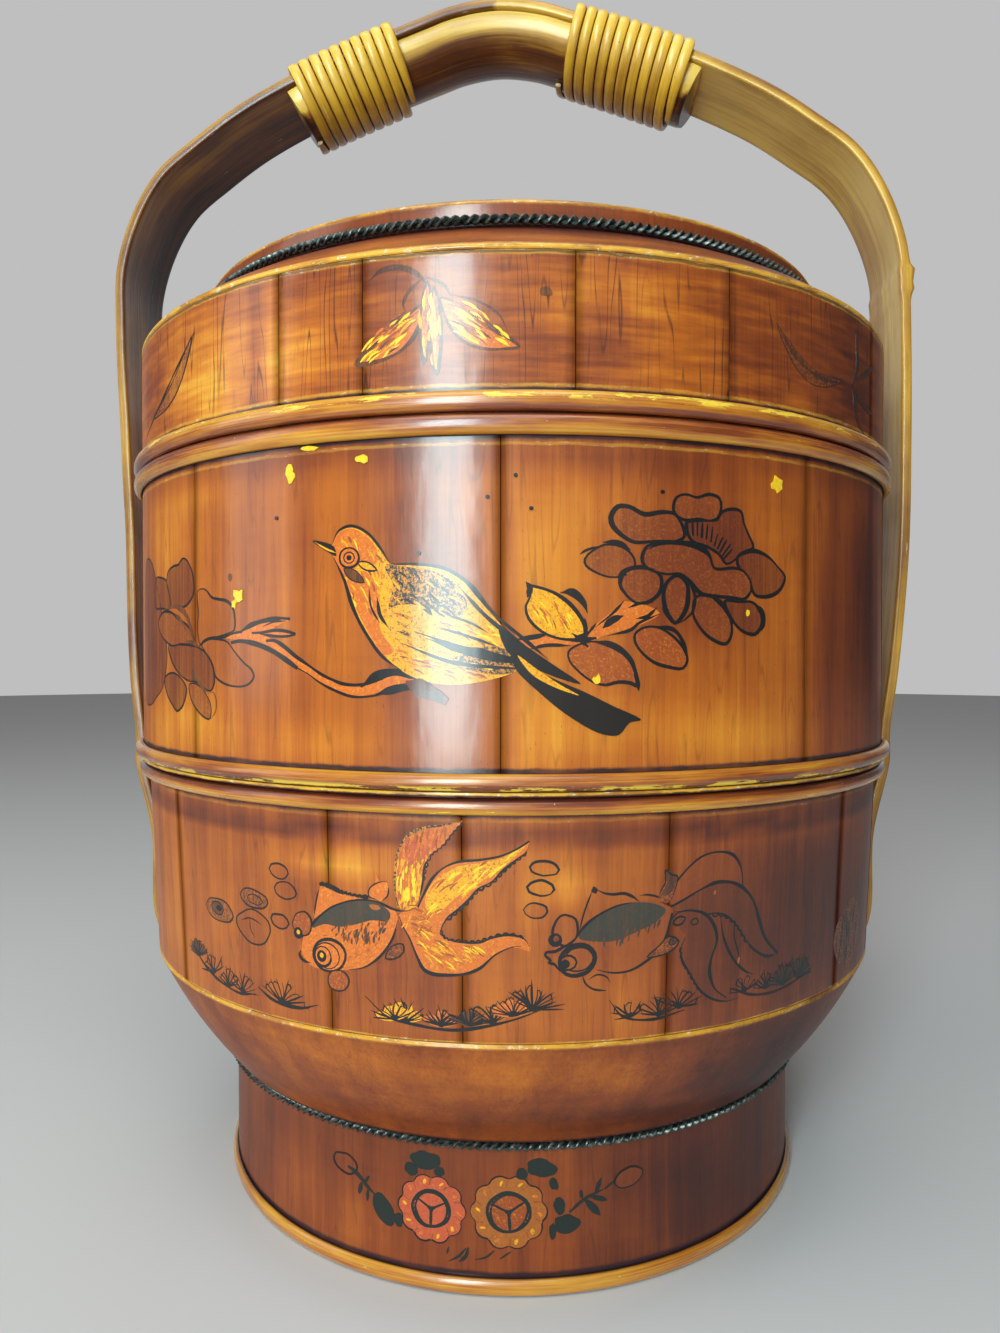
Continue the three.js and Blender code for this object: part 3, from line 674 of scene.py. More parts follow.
def lay_staves(wall, profile, body, material):
    """One piece for each stave of a wall, set where the solid's stave is."""
    fine_profile = finely(rounded(profile, STAVE_ROUND, 2), FINE)
    for i in range(STAVE_COUNT[wall]):
        node = f"{wall}_stave_{i + 1:02d}"
        start, end = span_of(node)
        start -= SEAM_CLOSING / BODY_RADIUS
        end += SEAM_CLOSING / BODY_RADIUS
        tone = STAVE_TONES[wall][i]
        shift = STAVE_SHIFT * (i + 1)
        STAVES[wall].append((start, end, tone, shift))
        vertices, faces = turned(fine_profile, start, end, STAVE_ROUND)
        ends = len(fine_profile)
        seam = [0.0] * len(vertices)
        for k in range(ends):
            seam[k] = seam[-1 - k] = 1.0
            seam[ends + k] = seam[-1 - ends - k] = EDGE_SHADE
        values = wall_values(wall, vertices, tone, shift, seam)
        add_piece(
            f"{wall}_board_{i + 1:02d}", vertices, faces, material, body,
            [node], values,
        )


def seam_bed(name, radius, base, top, body, material):
    """A dark hoop of glue inside a wall's thickness, which closes the seams from behind."""
    outer, inner = (radius - depth for depth in BED_DEPTHS)
    base += BED_INSET
    top -= BED_INSET
    vertices, faces = turned([(inner, base), (outer, base), (outer, top), (inner, top)])
    add_piece(name, vertices, faces, material, body)


def upper_wall(material):
    """Staves with a groove for the floor. Above and below it the bore fits the lips."""
    _, lip_radius, _, _ = ring_of("upper_lip")
    _, floor_radius, floor_base, floor_top = ring_of("upper_floor")
    bore = lip_radius + GAP
    croze = floor_radius + GAP
    profile = [
        (bore, UPPER_BASE), (BODY_RADIUS, UPPER_BASE), (BODY_RADIUS, UPPER_TOP), (bore, UPPER_TOP),
        (bore, floor_top + GAP), (croze, floor_top + GAP), (croze, floor_base - GAP),
        (bore, floor_base - GAP),
    ]
    lay_staves("upper", profile, "upper_tier", material)


def lower_wall(material):
    """Staves that lean outwards, with a straight bore in the mouth for the lip."""
    _, lip_radius, lip_base, _ = ring_of("lower_lip")
    bore = lip_radius + GAP
    seat = lip_base - GAP
    profile = [
        (ARRIS_RADIUS - WALL, LOWER_BASE), (ARRIS_RADIUS, LOWER_BASE), (RIM_RADIUS, LOWER_TOP),
        (bore, LOWER_TOP), (bore, seat), (lower_radius(seat) - WALL, seat),
    ]
    lay_staves("lower", profile, "base", material)


def lid_wall(material):
    """Straight staves round the lid."""
    bore = BODY_RADIUS - WALL
    profile = [(bore, LID_BASE), (BODY_RADIUS, LID_BASE), (BODY_RADIUS, LID_ARRIS), (bore, LID_ARRIS)]
    lay_staves("lid", profile, "lid", material)


def turned_wall(name, wall, profile, body, material, node):
    """A lacquered wall in one piece."""
    vertices, faces = turned(finely(profile, FINE))
    values = wall_values(wall, vertices)
    add_piece(name, vertices, faces, material, body, [node], values)


def swollen(start, end, swell, parts=12):
    """Points from start to end that bulge outwards."""
    (r0, z0), (r1, z1) = start, end
    length = math.hypot(r1 - r0, z1 - z0)
    points = []
    for i in range(1, parts):
        t = i / parts
        out = swell * math.sin(math.pi * t)
        points.append((
            r0 + (r1 - r0) * t + (z1 - z0) / length * out,
            z0 + (z1 - z0) * t - (r1 - r0) / length * out,
        ))
    return points


def bevel_and_foot(bevel_material, foot_material):
    """The swollen bevel with a seat for the floor board, and the straight foot under it."""
    _, floor_radius, floor_base, floor_top = ring_of("lower_floor")
    inner, _, _, _ = ring_of("lower_bevel")
    ledge = floor_radius + GAP
    foot = (WAIST_RADIUS, BEVEL_BASE)
    arris = (ARRIS_RADIUS, ARRIS - ARRIS_ROUND)
    profile = [
        (inner, BEVEL_BASE), foot, *swollen(foot, arris, BEVEL_SWELL), arris,
        (ARRIS_RADIUS - ARRIS_ROUND / 3, ARRIS), (ARRIS_RADIUS - WALL, ARRIS), (ledge, floor_top),
        (ledge, floor_base - GAP), (inner, floor_base - GAP),
    ]
    turned_wall("bevel_wall", "bevel", profile, "base", bevel_material, "lower_bevel")
    profile = ring_profile("foot_ring", FOOT_ROUND)
    turned_wall("foot_wall", "foot", profile, "base", foot_material, "foot_ring")


def lid_top(shoulder_material, collar_material, board_material):
    """The sloped shoulder, the collar on it and the sunk board inside the collar."""
    crest = (COLLAR_RADIUS + GAP, SHOULDER_TOP)
    arris = (BODY_RADIUS, SHOULDER_BASE + ARRIS_ROUND)
    profile = [
        (BODY_RADIUS - WALL, SHOULDER_BASE), (BODY_RADIUS - ARRIS_ROUND / 3, SHOULDER_BASE),
        (BODY_RADIUS, SHOULDER_BASE + ARRIS_ROUND / 3), arris,
        (BODY_RADIUS - ARRIS_ROUND / 3, SHOULDER_BASE + 1.5 * ARRIS_ROUND),
        *swollen(arris, crest, SHOULDER_SWELL)[1:], crest,
        (SHOULDER_BORE, SHOULDER_TOP), (SHOULDER_BORE, SHOULDER_TOP - WALL),
        (COLLAR_BORE, SHOULDER_TOP - WALL),
    ]
    turned_wall("shoulder_wall", "shoulder", profile, "lid", shoulder_material, "lid_shoulder")
    profile = ring_profile("lid_collar", COLLAR_ROUND)
    turned_wall("collar_wall", "collar", profile, "lid", collar_material, "lid_collar")
    disc("top_board", "lid_board", "lid", board_material, BOARD_ROUND)


DISC_SIDES = 96


def disc(name, node, body, material, edge):
    """A round board with a rounded rim."""
    _, radius, base, top = ring_of(node)
    outline = rounded([(0, base), (radius, base), (radius, top), (0, top)], edge)
    turns = [math.tau * i / DISC_SIDES for i in range(DISC_SIDES)]
    vertices, faces = tube([
        [at_bearing(out, turn, level) for turn in turns] for out, level in outline if out > edge
    ])
    add_piece(name, vertices, faces, material, body, [node], wall_values("collar", vertices))


# Hoops, lips and wires

HOOP_ARC = 14  # steps across a hoop's round face


def hoop(name, node, material, body):
    """A split bamboo hoop, flat inside, half round outside and a little uneven along its length."""
    inner, outer, base, top = HOOPS[node]
    half = (top - base) / 2
    middle = (top + base) / 2
    stations, crest, rises = [], [], []
    for i in range(AROUND):
        turn = math.tau * i / AROUND
        direction = Vector((math.sin(turn), math.cos(turn), 0))
        swell = 1 + 0.05 * noise.noise(direction * 9) + 0.03 * noise.noise(direction * 31)
        section = []
        for k in range(HOOP_ARC + 1):
            angle = (k / HOOP_ARC - 0.5) * math.pi
            out = math.cos(angle) ** 0.85 if k not in (0, HOOP_ARC) else 0
            rise = math.sin(angle)
            radius = inner + (outer - inner) * out * min(swell, 1)
            section.append(at_bearing(radius, turn, middle + half * rise))
            crest.append(out)
            rises.append(rise)
        stations.append(section)
    vertices, faces = tube(stations, closed=True)
    values = {"crest": crest, "rise": rises}
    add_piece(name, vertices, faces, material, body, [node], values)


def plain_band(name, node, material, body, edge):
    """A ring with rounded edges."""
    vertices, faces = turned(ring_profile(node, edge))
    add_piece(name, vertices, faces, material, body, [node], wall_values("collar", vertices))


TWIST_SIDES = 8
TWIST_STEPS = 12  # stations along one turn of the lay
LAY = 5.2 * MM
STRAND_NEST = 0.98  # how far apart the strands lie, as a share of their width


def twisted_wire(name, node, material, body):
    """Two strands laid round each other, closed in a ring."""
    inner, outer, base, top = ring_of(node)
    middle, level = (inner + outer) / 2, (base + top) / 2
    strand = (outer - inner) / 4
    lays = round(math.tau * middle / LAY)
    count = lays * TWIST_STEPS
    vertices, faces = [], []
    for side in (0, math.pi):
        stations = []
        for i in range(count):
            turn = math.tau * i / count
            spin = math.tau * lays * i / count + side
            offset = strand * STRAND_NEST
            out, up = offset * math.cos(spin), offset * math.sin(spin)
            section = []
            for k in range(TWIST_SIDES):
                angle = math.tau * k / TWIST_SIDES + spin
                section.append(at_bearing(
                    middle + out + strand * math.cos(angle), turn,
                    level + up + strand * math.sin(angle),
                ))
            stations.append(section)
        more, more_faces = tube(stations, closed=True)
        faces += [tuple(k + len(vertices) for k in face) for face in more_faces]
        vertices += more
    add_piece(name, vertices, faces, material, body, [node])


# Handle

SLAT_WIDTH = 34 * MM
SLAT_THICKNESS = 3.4 * MM
SLAT_CROWN = 1 * MM
SLAT_HOLLOW = 0.5 * MM
SLAT_EDGE = 0.9 * MM
SLAT_STEPS = 12  # across each face
SLAT_STATIONS = 420
SLAT_CLEAR = 3 * MM
HOOP_CLEAR = 0.5 * MM
HANDLE_BOW = 13.4 * MM
SPAN_LEVEL = 305 * MM
HANDLE_HEIGHT = 417 * MM
HANDLE_LEAN = 4.6 * MM
HANDLE_TURN = 0.065  # radians, the -X leg backwards
GRIP_SHIFT = 2.7 * MM
NODE_RISE = 6 * MM
# The bamboo node's two ridges: (height, place along the leg, half width)
NODE_RIDGES = ((1.7 * MM, -2.6 * MM, 2.2 * MM), (1.3 * MM, 2.8 * MM, 2.4 * MM))
EDGE_WAVER = 0.35 * MM
PAD_HALF = 82 * MM
PAD_WIDTH = 31 * MM
PAD_DEPTH = 12 * MM
PAD_SLOPE = 0.15
PAD_ROUND = 0.6 * MM
PAD_ARC = 18
PAD_STATIONS = 90
CANE_WIDTH = 3.9 * MM
CANE_THICKNESS = 2.3 * MM
CANE_PITCH = 4.1 * MM
CANE_SIDES = 12
LACE_STEPS = 60  # stations along one turn of the cane
LACES = {-1: (38 * MM, 10), 1: (31 * MM, 11)}  # start and turns of the lashing on each side
HALF_SPAN = BODY_RADIUS + HANDLE_BOW
# Shares of the half span and of the rise above the widest level, from the crown down
ARCH_SHARES = (
    (0, 1), (0.11, 0.982), (0.196, 0.946), (0.37, 0.865), (0.52, 0.786), (0.665, 0.691),
    (0.78, 0.59), (0.88, 0.485), (0.949, 0.345), (0.993, 0.17),
)
LINE_STEP = 0.5 * MM
# Shares of the leg's height above the hoops, and of how far it bows out
LEG_SHARES = ((0.6, 0.86), (0.32, 0.63), (0.14, 0.35))


def handle_side():
    """The outer face of the slat from the crown down to the waist, as (across, level)."""
    offset = GAP + SLAT_THICKNESS
    hoop_reach = HOOPS["upper_base_hoop"][1] + HOOP_CLEAR + SLAT_THICKNESS
    hoop_top = HOOPS["upper_base_hoop"][3]
    hoop_foot = HOOPS["lower_hoop"][2] + GAP
    wall_middle = (LOWER_BASE + LOWER_TOP) / 2
    bow = HALF_SPAN - hoop_reach
    run, rise = ARRIS_RADIUS - WAIST_RADIUS, ARRIS - BEVEL_BASE
    length = math.hypot(run, rise)

    def beside_bevel(share):
        out = BEVEL_SWELL * math.sin(math.pi * share) + offset
        across = WAIST_RADIUS + run * share + rise / length * out
        return across, BEVEL_BASE + rise * share - run / length * out

    arch_rise, leg_rise = HANDLE_HEIGHT - SPAN_LEVEL, SPAN_LEVEL - hoop_top
    return [
        *((HALF_SPAN * across, SPAN_LEVEL + arch_rise * up) for across, up in ARCH_SHARES),
        (HALF_SPAN, SPAN_LEVEL),
        *((hoop_reach + bow * out, hoop_top + leg_rise * up) for up, out in LEG_SHARES),
        (hoop_reach, hoop_top), (hoop_reach, hoop_foot),
        (lower_radius(wall_middle) + offset + GAP, wall_middle),
        (ARRIS_RADIUS + offset + GAP, LOWER_BASE),
        beside_bevel(2 / 3), beside_bevel(1 / 3), beside_bevel(SLAT_CLEAR / rise),
    ]


class HandleLine:
    """The slat's outer line, with frames found by arc length from the crown."""

    def __init__(self):
        side = handle_side()
        points = [(-across, level) for across, level in reversed(side[1:])] + side
        leaned = []
        for across, level in points:
            lean = HANDLE_LEAN * smoothstep(UPPER_BASE, HANDLE_HEIGHT, level)
            leaned.append((across - lean, 0, level))
        self.points = smooth_line(leaned, LINE_STEP)
        self.lengths = [0.0]
        for a, b in zip(self.points, self.points[1:]):
            self.lengths.append(self.lengths[-1] + (b - a).length)
        self.half = self.lengths[-1] / 2

    def point(self, along):
        """The point at an arc length from the crown, positive towards +X."""
        target = min(max(along + self.half, 0), self.lengths[-1])
        low, high = 0, len(self.lengths) - 1
        while high - low > 1:
            middle = (low + high) // 2
            low, high = (middle, high) if self.lengths[middle] <= target else (low, middle)
        t = (target - self.lengths[low]) / (self.lengths[high] - self.lengths[low])
        return self.points[low].lerp(self.points[high], t)

    def frame(self, along):
        """Origin, tangent and inward direction."""
        origin = self.point(along)
        reach = 4 * LINE_STEP
        tangent = (self.point(along + reach) - self.point(along - reach)).normalized()
        return origin, tangent, Vector((0, 1, 0)).cross(tangent)

    def along_at_level(self, level):
        """Arc length from the crown to a level on the +X leg."""
        low, high = 0, self.half
        while high - low > LINE_STEP / 50:
            middle = (low + high) / 2
            low, high = (middle, high) if self.point(middle).z > level else (low, middle)
        return low


def turned_with_arch(point):
    """A point of the handle turned about the axis, the whole turn at the upper tier's mouth."""
    turn = -HANDLE_TURN * smoothstep(UPPER_BASE, LID_BASE, point.z)
    return Vector((
        point.x * math.cos(turn) - point.y * math.sin(turn),
        point.x * math.sin(turn) + point.y * math.cos(turn), point.z,
    ))


def handle_piece(name, node, line, stations, material):
    """A piece along the handle from stations of (along, across, depth, shade) points."""
    rings, values = [], {"along": [], "across": [], "depth": [], "shade": []}
    for station in stations:
        ring = []
        for along, across, depth, shade in station:
            origin, _, inward = line.frame(along)
            ring.append(turned_with_arch(origin + inward * depth + Vector((0, across, 0))))
            for key, value in zip(values, (along, across, depth, shade)):
                values[key].append(value)
        rings.append(ring)
    vertices, faces = tube(rings)
    add_piece(name, vertices, faces, material, "base", [node], values)


def slat_section():
    """Across and depth of the slat's rounded section."""
    half = SLAT_WIDTH / 2
    shares = [2 * k / SLAT_STEPS - 1 for k in range(SLAT_STEPS + 1)]
    outer = [(half * share, -SLAT_CROWN * (1 - share ** 2)) for share in shares]
    inner = [(-half * share, SLAT_THICKNESS - SLAT_HOLLOW * (1 - share ** 2)) for share in shares]
    return rounded(outer + inner, SLAT_EDGE, 3)


def inner_shade(along, across):
    """Painted shade and light on the slat's inner face: the -X arm darker, lighter at its front edge, the
    +X arm lighter at the top.
    """
    back = smoothstep(-0.3, 0.35, across / SLAT_WIDTH)
    if along < 0:
        return 0.40 + 0.55 * back - 0.25 * smoothstep(-0.17, -0.26, along)
    return -0.30 + 0.55 * back * smoothstep(0.12, 0.19, along) + 0.3 * smoothstep(0.2, 0.3, along)


def slat(line, material):
    """The split bamboo arch, with a node on its +X leg."""
    section = slat_section()
    node_at = line.along_at_level(SPAN_LEVEL + NODE_RISE)
    stations = []
    for i in range(SLAT_STATIONS + 1):
        along = line.half * (2 * i / SLAT_STATIONS - 1)
        ridge = sum(
            height * math.exp(-((along - node_at - place) / half) ** 2)
            for height, place, half in NODE_RIDGES
        )
        station = []
        for across, depth in section:
            waver = EDGE_WAVER * noise.noise(Vector((along * 40, math.copysign(1, across), 0)))
            outer = 1 if depth < SLAT_THICKNESS / 2 else 0.4
            lift = ridge * outer * (-1 if depth < SLAT_THICKNESS / 2 else 1)
            edge = smoothstep(0.8, 1, abs(across) / (SLAT_WIDTH / 2))
            widened = across * (1 + 0.02 * ridge / MM) + waver * edge
            # Painted shade towards the slat's edges.
            shade = 0.3 * edge
            if depth > SLAT_THICKNESS / 2:
                shade += inner_shade(along, across)
            station.append((along, widened, depth + lift, shade))
        stations.append(station)
    handle_piece("slat", "handle_slat", line, stations, material)


def grip_pad(line, material):
    """The half round bamboo pad under the slat, worn bright at its front corners."""
    half = PAD_WIDTH / 2
    section = []
    for k in range(PAD_ARC + 1):
        angle = math.pi * k / PAD_ARC
        section.append((half * math.cos(angle), SLAT_THICKNESS + GAP + PAD_DEPTH * math.sin(angle) ** 0.8))
    section = rounded(section, PAD_ROUND, 2)
    stations = []
    for i in range(PAD_STATIONS + 1):
        share = 2 * i / PAD_STATIONS - 1
        station = []
        for across, depth in section:
            below = depth - SLAT_THICKNESS - GAP
            reach = PAD_HALF - below * math.tan(PAD_SLOPE)
            end = smoothstep(0.97, 1, abs(share))
            front = -across / half
            lower = smoothstep(0.3, 0.8, below / PAD_DEPTH)
            # Painted shade on the lower half and at the ends, painted light on the upper front; chip is
            # the worn corners.
            shade = 0.75 * lower - 0.15 * (1 - lower) * front + 0.9 * smoothstep(0.985, 1, abs(share))
            chip = smoothstep(0.93, 0.99, abs(share)) * smoothstep(0.55, 0.9, front)
            shade -= 1.6 * chip
            station.append((
                reach * share - GRIP_SHIFT, across * (1 - 0.03 * end), depth - 0.04 * end * below, shade,
            ))
        stations.append(station)
    handle_piece("pad", "grip_pad", line, stations, material)


def lace_outline(turn):
    """Across and depth of the cane's middle round the slat and the pad."""
    clear = GAP + CANE_THICKNESS / 2
    across, up = math.cos(turn), math.sin(turn)
    half_width = SLAT_WIDTH / 2 + clear + GAP
    if up < 0:
        return half_width * across, SLAT_THICKNESS - (PAD_DEPTH + clear + 2 * GAP) * up
    square = 0.4
    rise = SLAT_THICKNESS + SLAT_CROWN + clear + GAP
    return (
        half_width * math.copysign(abs(across) ** square, across),
        SLAT_THICKNESS - rise * up ** square,
    )


def lashing(name, node, line, side, material):
    """One length of split cane wound over the slat and its pad."""
    start, turn_count = LACES[side]
    count = turn_count * LACE_STEPS
    path = []
    for i in range(count + 1):
        turns = i / LACE_STEPS
        origin, tangent, inward = line.frame(side * (start + CANE_PITCH * turns) - GRIP_SHIFT)
        across, depth = lace_outline(-math.pi / 2 + side * turns * math.tau)
        point = turned_with_arch(origin + inward * depth + Vector((0, across, 0)))
        path.append((point, tangent, turns, smoothstep(0, PAD_DEPTH + SLAT_THICKNESS, depth)))
    rings, values = [], {"along": [], "across": [], "depth": [], "shade": []}
    length = 0
    for i, (point, sideways, turns, under) in enumerate(path):
        before, after = path[max(i - 1, 0)][0], path[min(i + 1, count)][0]
        length += (point - before).length
        run = (after - before).normalized()
        out = run.cross(sideways).normalized()
        across_way = out.cross(run)
        ring = []
        uneven = 1 + 0.06 * noise.noise(Vector((turns * 1.7, side * 5, 0)))
        taper = min(1, 0.55 + 0.45 * min(i, count - i) / (LACE_STEPS / 6))
        for k in range(CANE_SIDES):
            angle = math.tau * k / CANE_SIDES
            x = math.cos(angle)
            y = math.sin(angle)
            wide = CANE_WIDTH / 2 * uneven * taper * math.copysign(abs(x) ** 0.8, x)
            high = CANE_THICKNESS / 2 * taper * math.copysign(abs(y) ** 0.8, y)
            ring.append(point + across_way * wide + out * high)
            values["along"].append(length)
            values["across"].append(wide)
            values["depth"].append(high)
            # Painted shade at the cane's edges and where it passes under the pad.
            values["shade"].append(0.5 * abs(x) ** 6 + 0.45 * under - 0.1)
        rings.append(ring)
    vertices, faces = tube(rings)
    add_piece(name, vertices, faces, material, "base", [node], values)


PEG_SIDES = 20
PEG_RIM = 0.35  # height of the head's rim, as a share of the peg's radius
PEG_DISH = (0.75, 0.35)  # shares of a quarter turn, from the dished middle out to the rim


def peg(name, node, material):
    """A bamboo peg along X. Its head has a round rim and is a little dished."""
    low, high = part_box(node)
    side = 1 if low.x > 0 else -1
    middle = (low + high) / 2
    radius = (high.y - low.y) / 2
    head, tip = (high.x, low.x) if side > 0 else (low.x, high.x)
    rim = side * PEG_RIM * radius
    rings = []
    for share in PEG_DISH:
        turn = share * math.pi / 2
        rings.append((head - rim * (1 - math.cos(turn)), radius * math.cos(0.9 * turn)))
    rings += [(head - rim, radius), (tip, radius)]
    turns = [math.tau * k / PEG_SIDES for k in range(PEG_SIDES)]
    vertices, faces = tube([
        [(x, middle.y + out * math.cos(turn), middle.z + out * math.sin(turn)) for turn in turns]
        for x, out in rings
    ])
    add_piece(name, vertices, faces, material, "base", [node])


# Brush work

FIRST_LAYER = 0.03 * MM
FILL_LAYER = 0.003 * MM
STROKE_LAYER = 0.001 * MM
HATCH_LAYERS = 8
# Steps in plain millimetres: inside a filled shape, round its edge, and along a stroke
GRID_STEP = 1.5
EDGE_STEP = 1.4
STROKE_STEP = 0.8
THIN_ENDS = (0.15, 0.15)

# Paints: (colour, cover), (colour under flaked paint, share flaked)
# The teal tint of the dark paints is a painted reflection of the cool window light on black paint.
INK = ((0.004, 0.009, 0.010, 0.98), (0.08, 0.028, 0.015, 0.30))
WORN_INK = ((0.010, 0.028, 0.032, 0.94), (0.70, 0.26, 0.02, 0.48))
WASH = ((0.012, 0.020, 0.018, 0.80), (0.14, 0.035, 0.012, 0.42))
PETAL = ((0.170, 0.036, 0.014, 0.76), (0.36, 0.10, 0.02, 0.43))
DARK_PETAL = ((0.105, 0.022, 0.012, 0.80), (0.24, 0.05, 0.015, 0.40))
THIN_PETAL = ((0.25, 0.055, 0.014, 0.45), (0.3, 0.1, 0.03, 0.3))
FIN_BROWN = ((0.10, 0.026, 0.012, 0.62), (0.22, 0.055, 0.015, 0.36))
TEAL = ((0.012, 0.036, 0.032, 0.90), (0.10, 0.032, 0.014, 0.40))
ORANGE = ((0.62, 0.135, 0.018, 0.92), (0.74, 0.27, 0.03, 0.43))
GOLD = ((0.80, 0.35, 0.012, 0.96), (0.48, 0.10, 0.012, 0.44))
WORN_GOLD = ((0.78, 0.34, 0.02, 0.95), (0.016, 0.030, 0.032, 0.42))
BRIGHT_GOLD = ((0.90, 0.54, 0.020, 1.0), (0.70, 0.26, 0.012, 0.38))
RUST = ((0.30, 0.058, 0.014, 0.84), (0.58, 0.17, 0.02, 0.43))
ROSE = ((0.50, 0.085, 0.035, 0.94), (0.62, 0.19, 0.06, 0.40))
TAN = ((0.36, 0.105, 0.018, 0.92), (0.5, 0.2, 0.04, 0.38))
HAZE = ((0.03, 0.020, 0.016, 0.68), (0.46, 0.11, 0.02, 0.47))
LEAF_INK = ((0.007, 0.020, 0.018, 0.97), (0.06, 0.03, 0.018, 0.3))


class Sheet:
    """Brush work on one wall. Points are in millimetres: along the wall from the front line, and
    up from the table. Later shapes lie over earlier ones. radius gives the wall's radius at a
    level, and middle is the radius along which the millimetres are counted."""

    def __init__(self, wall, radius, middle, seed):
        self.wall = wall
        self.radius = radius
        self.middle = middle
        self.random = random.Random(seed)
        self.vertices = []
        self.faces = []
        self.turns = []
        self.paints = []
        self.lift = FIRST_LAYER

    def place(self, x, y, lift):
        level = y * MM
        turn = x * MM / self.middle
        self.turns.append(turn)
        self.vertices.append(at_bearing(self.radius(level) + lift, turn, level))

    def slab(self, points, triangles, rim, paint, layer):
        """Top, underside and edge of a flat shape."""
        start = len(self.vertices)
        count = len(points)
        for lift in (self.lift, -BEHIND):
            for x, y in points:
                self.place(x, y, lift)
        self.faces += [tuple(start + k for k in face) for face in triangles]
        self.faces += [tuple(start + count + k for k in reversed(face)) for face in triangles]
        self.faces += [(start + a, start + b, start + count + b, start + count + a) for a, b in rim]
        self.paints += [paint] * (2 * count)
        self.lift += layer

    def fill(self, outline, paint):
        """A flat shape with points inside, so that it bends round the wall."""
        left, right, foot, top = extent(outline)
        step = GRID_STEP
        inside = []
        for i in range(int((right - left) / step) + 1):
            for j in range(int((top - foot) / step) + 1):
                inside.append((left + (i + 0.5) * step, foot + (j + 0.5) * step))
        clear = [p for p in inside if encloses(outline, p) and distance(outline, p) > step / 3]
        coordinates = [Vector(p) for p in [*outline, *clear]]
        made = delaunay_2d_cdt(coordinates, [], [list(range(len(outline)))], 1, 1e-5)
        triangles = [tuple(face) for face in made[2]]
        seen = {}
        for face in triangles:
            for a, b in zip(face, face[1:] + face[:1]):
                key = (min(a, b), max(a, b))
                seen[key] = None if key in seen else (a, b)
        rim = [edge for edge in seen.values() if edge]
        self.slab([tuple(p) for p in made[0]], triangles, rim, paint, FILL_LAYER)

    def brush(self, points, width, paint=INK, ends=THIN_ENDS, closed=False):
        """A stroke of uneven width. ends are the shares of the full width at its two ends. A closed
        stroke follows the points as they are, and an open one runs smoothly through them."""
        line = [Vector((*p, 0)) for p in points]
        if not closed:
            line = smooth_line(line, STROKE_STEP)
        count = len(line)
        phase = self.random.random() * 100
        left, right = [], []
        for i, point in enumerate(line):
            before = line[i - 1] if closed or i else line[0]
            after = line[(i + 1) % count] if closed or i + 1 < count else line[-1]
            run = (after - before).normalized()
            side = Vector((-run.y, run.x, 0))
            t = i / (count - 1)
            start = ends[0] + (1 - ends[0]) * smoothstep(0, 0.3, t)
            end = ends[1] + (1 - ends[1]) * smoothstep(1, 0.7, t)
            press = 1 if closed else min(start, end)
            uneven = 1 + 0.7 * noise.noise(Vector((i * 0.11, phase, 0)))
            half = width / 2 * press * uneven
            left.append((point + side * half)[:2])
            right.append((point - side * half)[:2])
        points = left + right
        triangles, rim = [], []
        for i in range(count if closed else count - 1):
            n = (i + 1) % count
            triangles.append((i, n, count + n, count + i))
            rim += [(i, n), (count + n, count + i)]
        if not closed:
            rim += [(count, 0), (count - 1, 2 * count - 1)]
        self.slab(points, triangles, rim, paint, STROKE_LAYER)

    def lines(self, strokes, paint=INK, ends=THIN_ENDS):
        """Strokes given as (points, width)."""
        for points, width in strokes:
            self.brush(points, width, paint, ends)

    def shape(self, points, paint, ink=0, line=INK, wobble=0.0):
        """A closed smooth outline, filled, and drawn round with a line as wide as ink."""
        outline = smooth_line([(*p, 0) for p in points], EDGE_STEP, True)
        if wobble:
            phase = self.random.random() * 100
            count = len(outline)
            middle = sum(outline, Vector((0, 0, 0))) / count
            for i, point in enumerate(outline):
                turn = math.tau * i / count
                around = Vector((math.cos(turn), math.sin(turn), phase))
                outline[i] = middle + (point - middle) * (1 + wobble * noise.noise(around * 1.3))
        flat = [(p.x, p.y) for p in outline]
        if paint:
            self.fill(flat, paint)
        if ink:
            self.brush(flat, ink, line, closed=True)

    def brushes(self, strokes):
        """Many strokes within a few layers, each as the arguments of brush."""
        ground = self.lift
        for k, stroke in enumerate(strokes):
            self.lift = ground + STROKE_LAYER * (k % HATCH_LAYERS)
            self.brush(*stroke)
        self.lift = ground + STROKE_LAYER * HATCH_LAYERS

    def hatch(self, outline, count, tilt, length, width, paints, spread=14):
        """Short strokes scattered inside an outline, at about one angle."""
        left, right, foot, top = extent(outline)
        strokes = []
        for _ in range(count):
            x = self.random.uniform(left, right)
            y = self.random.uniform(foot, top)
            turn = math.radians(tilt + self.random.uniform(-spread, spread))
            half = length * self.random.uniform(0.3, 0.6)
            run = (half * math.cos(turn), half * math.sin(turn))
            ends = ((x - run[0], y - run[1]), (x + run[0], y + run[1]))
            if all(encloses(outline, end) for end in ends):
                bend = (x - 0.12 * run[1], y + 0.12 * run[0])
                paint = self.random.choice(paints)
                strokes.append(([ends[0], bend, ends[1]], width, paint, (0.3, 0.2)))
        self.brushes(strokes)

    def oval(self, x, y, half_width, half_height, tilt=0, paint=None, ink=0.5, wobble=0.12, line=INK):
        """An uneven oval, tilted by degrees."""
        cos, sin = math.cos(math.radians(tilt)), math.sin(math.radians(tilt))
        points = []
        for k in range(10):
            angle = math.tau * k / 10
            a, b = half_width * math.cos(angle), half_height * math.sin(angle)
            points.append((x + a * cos - b * sin, y + a * sin + b * cos))
        self.shape(points, paint, ink, line, wobble)

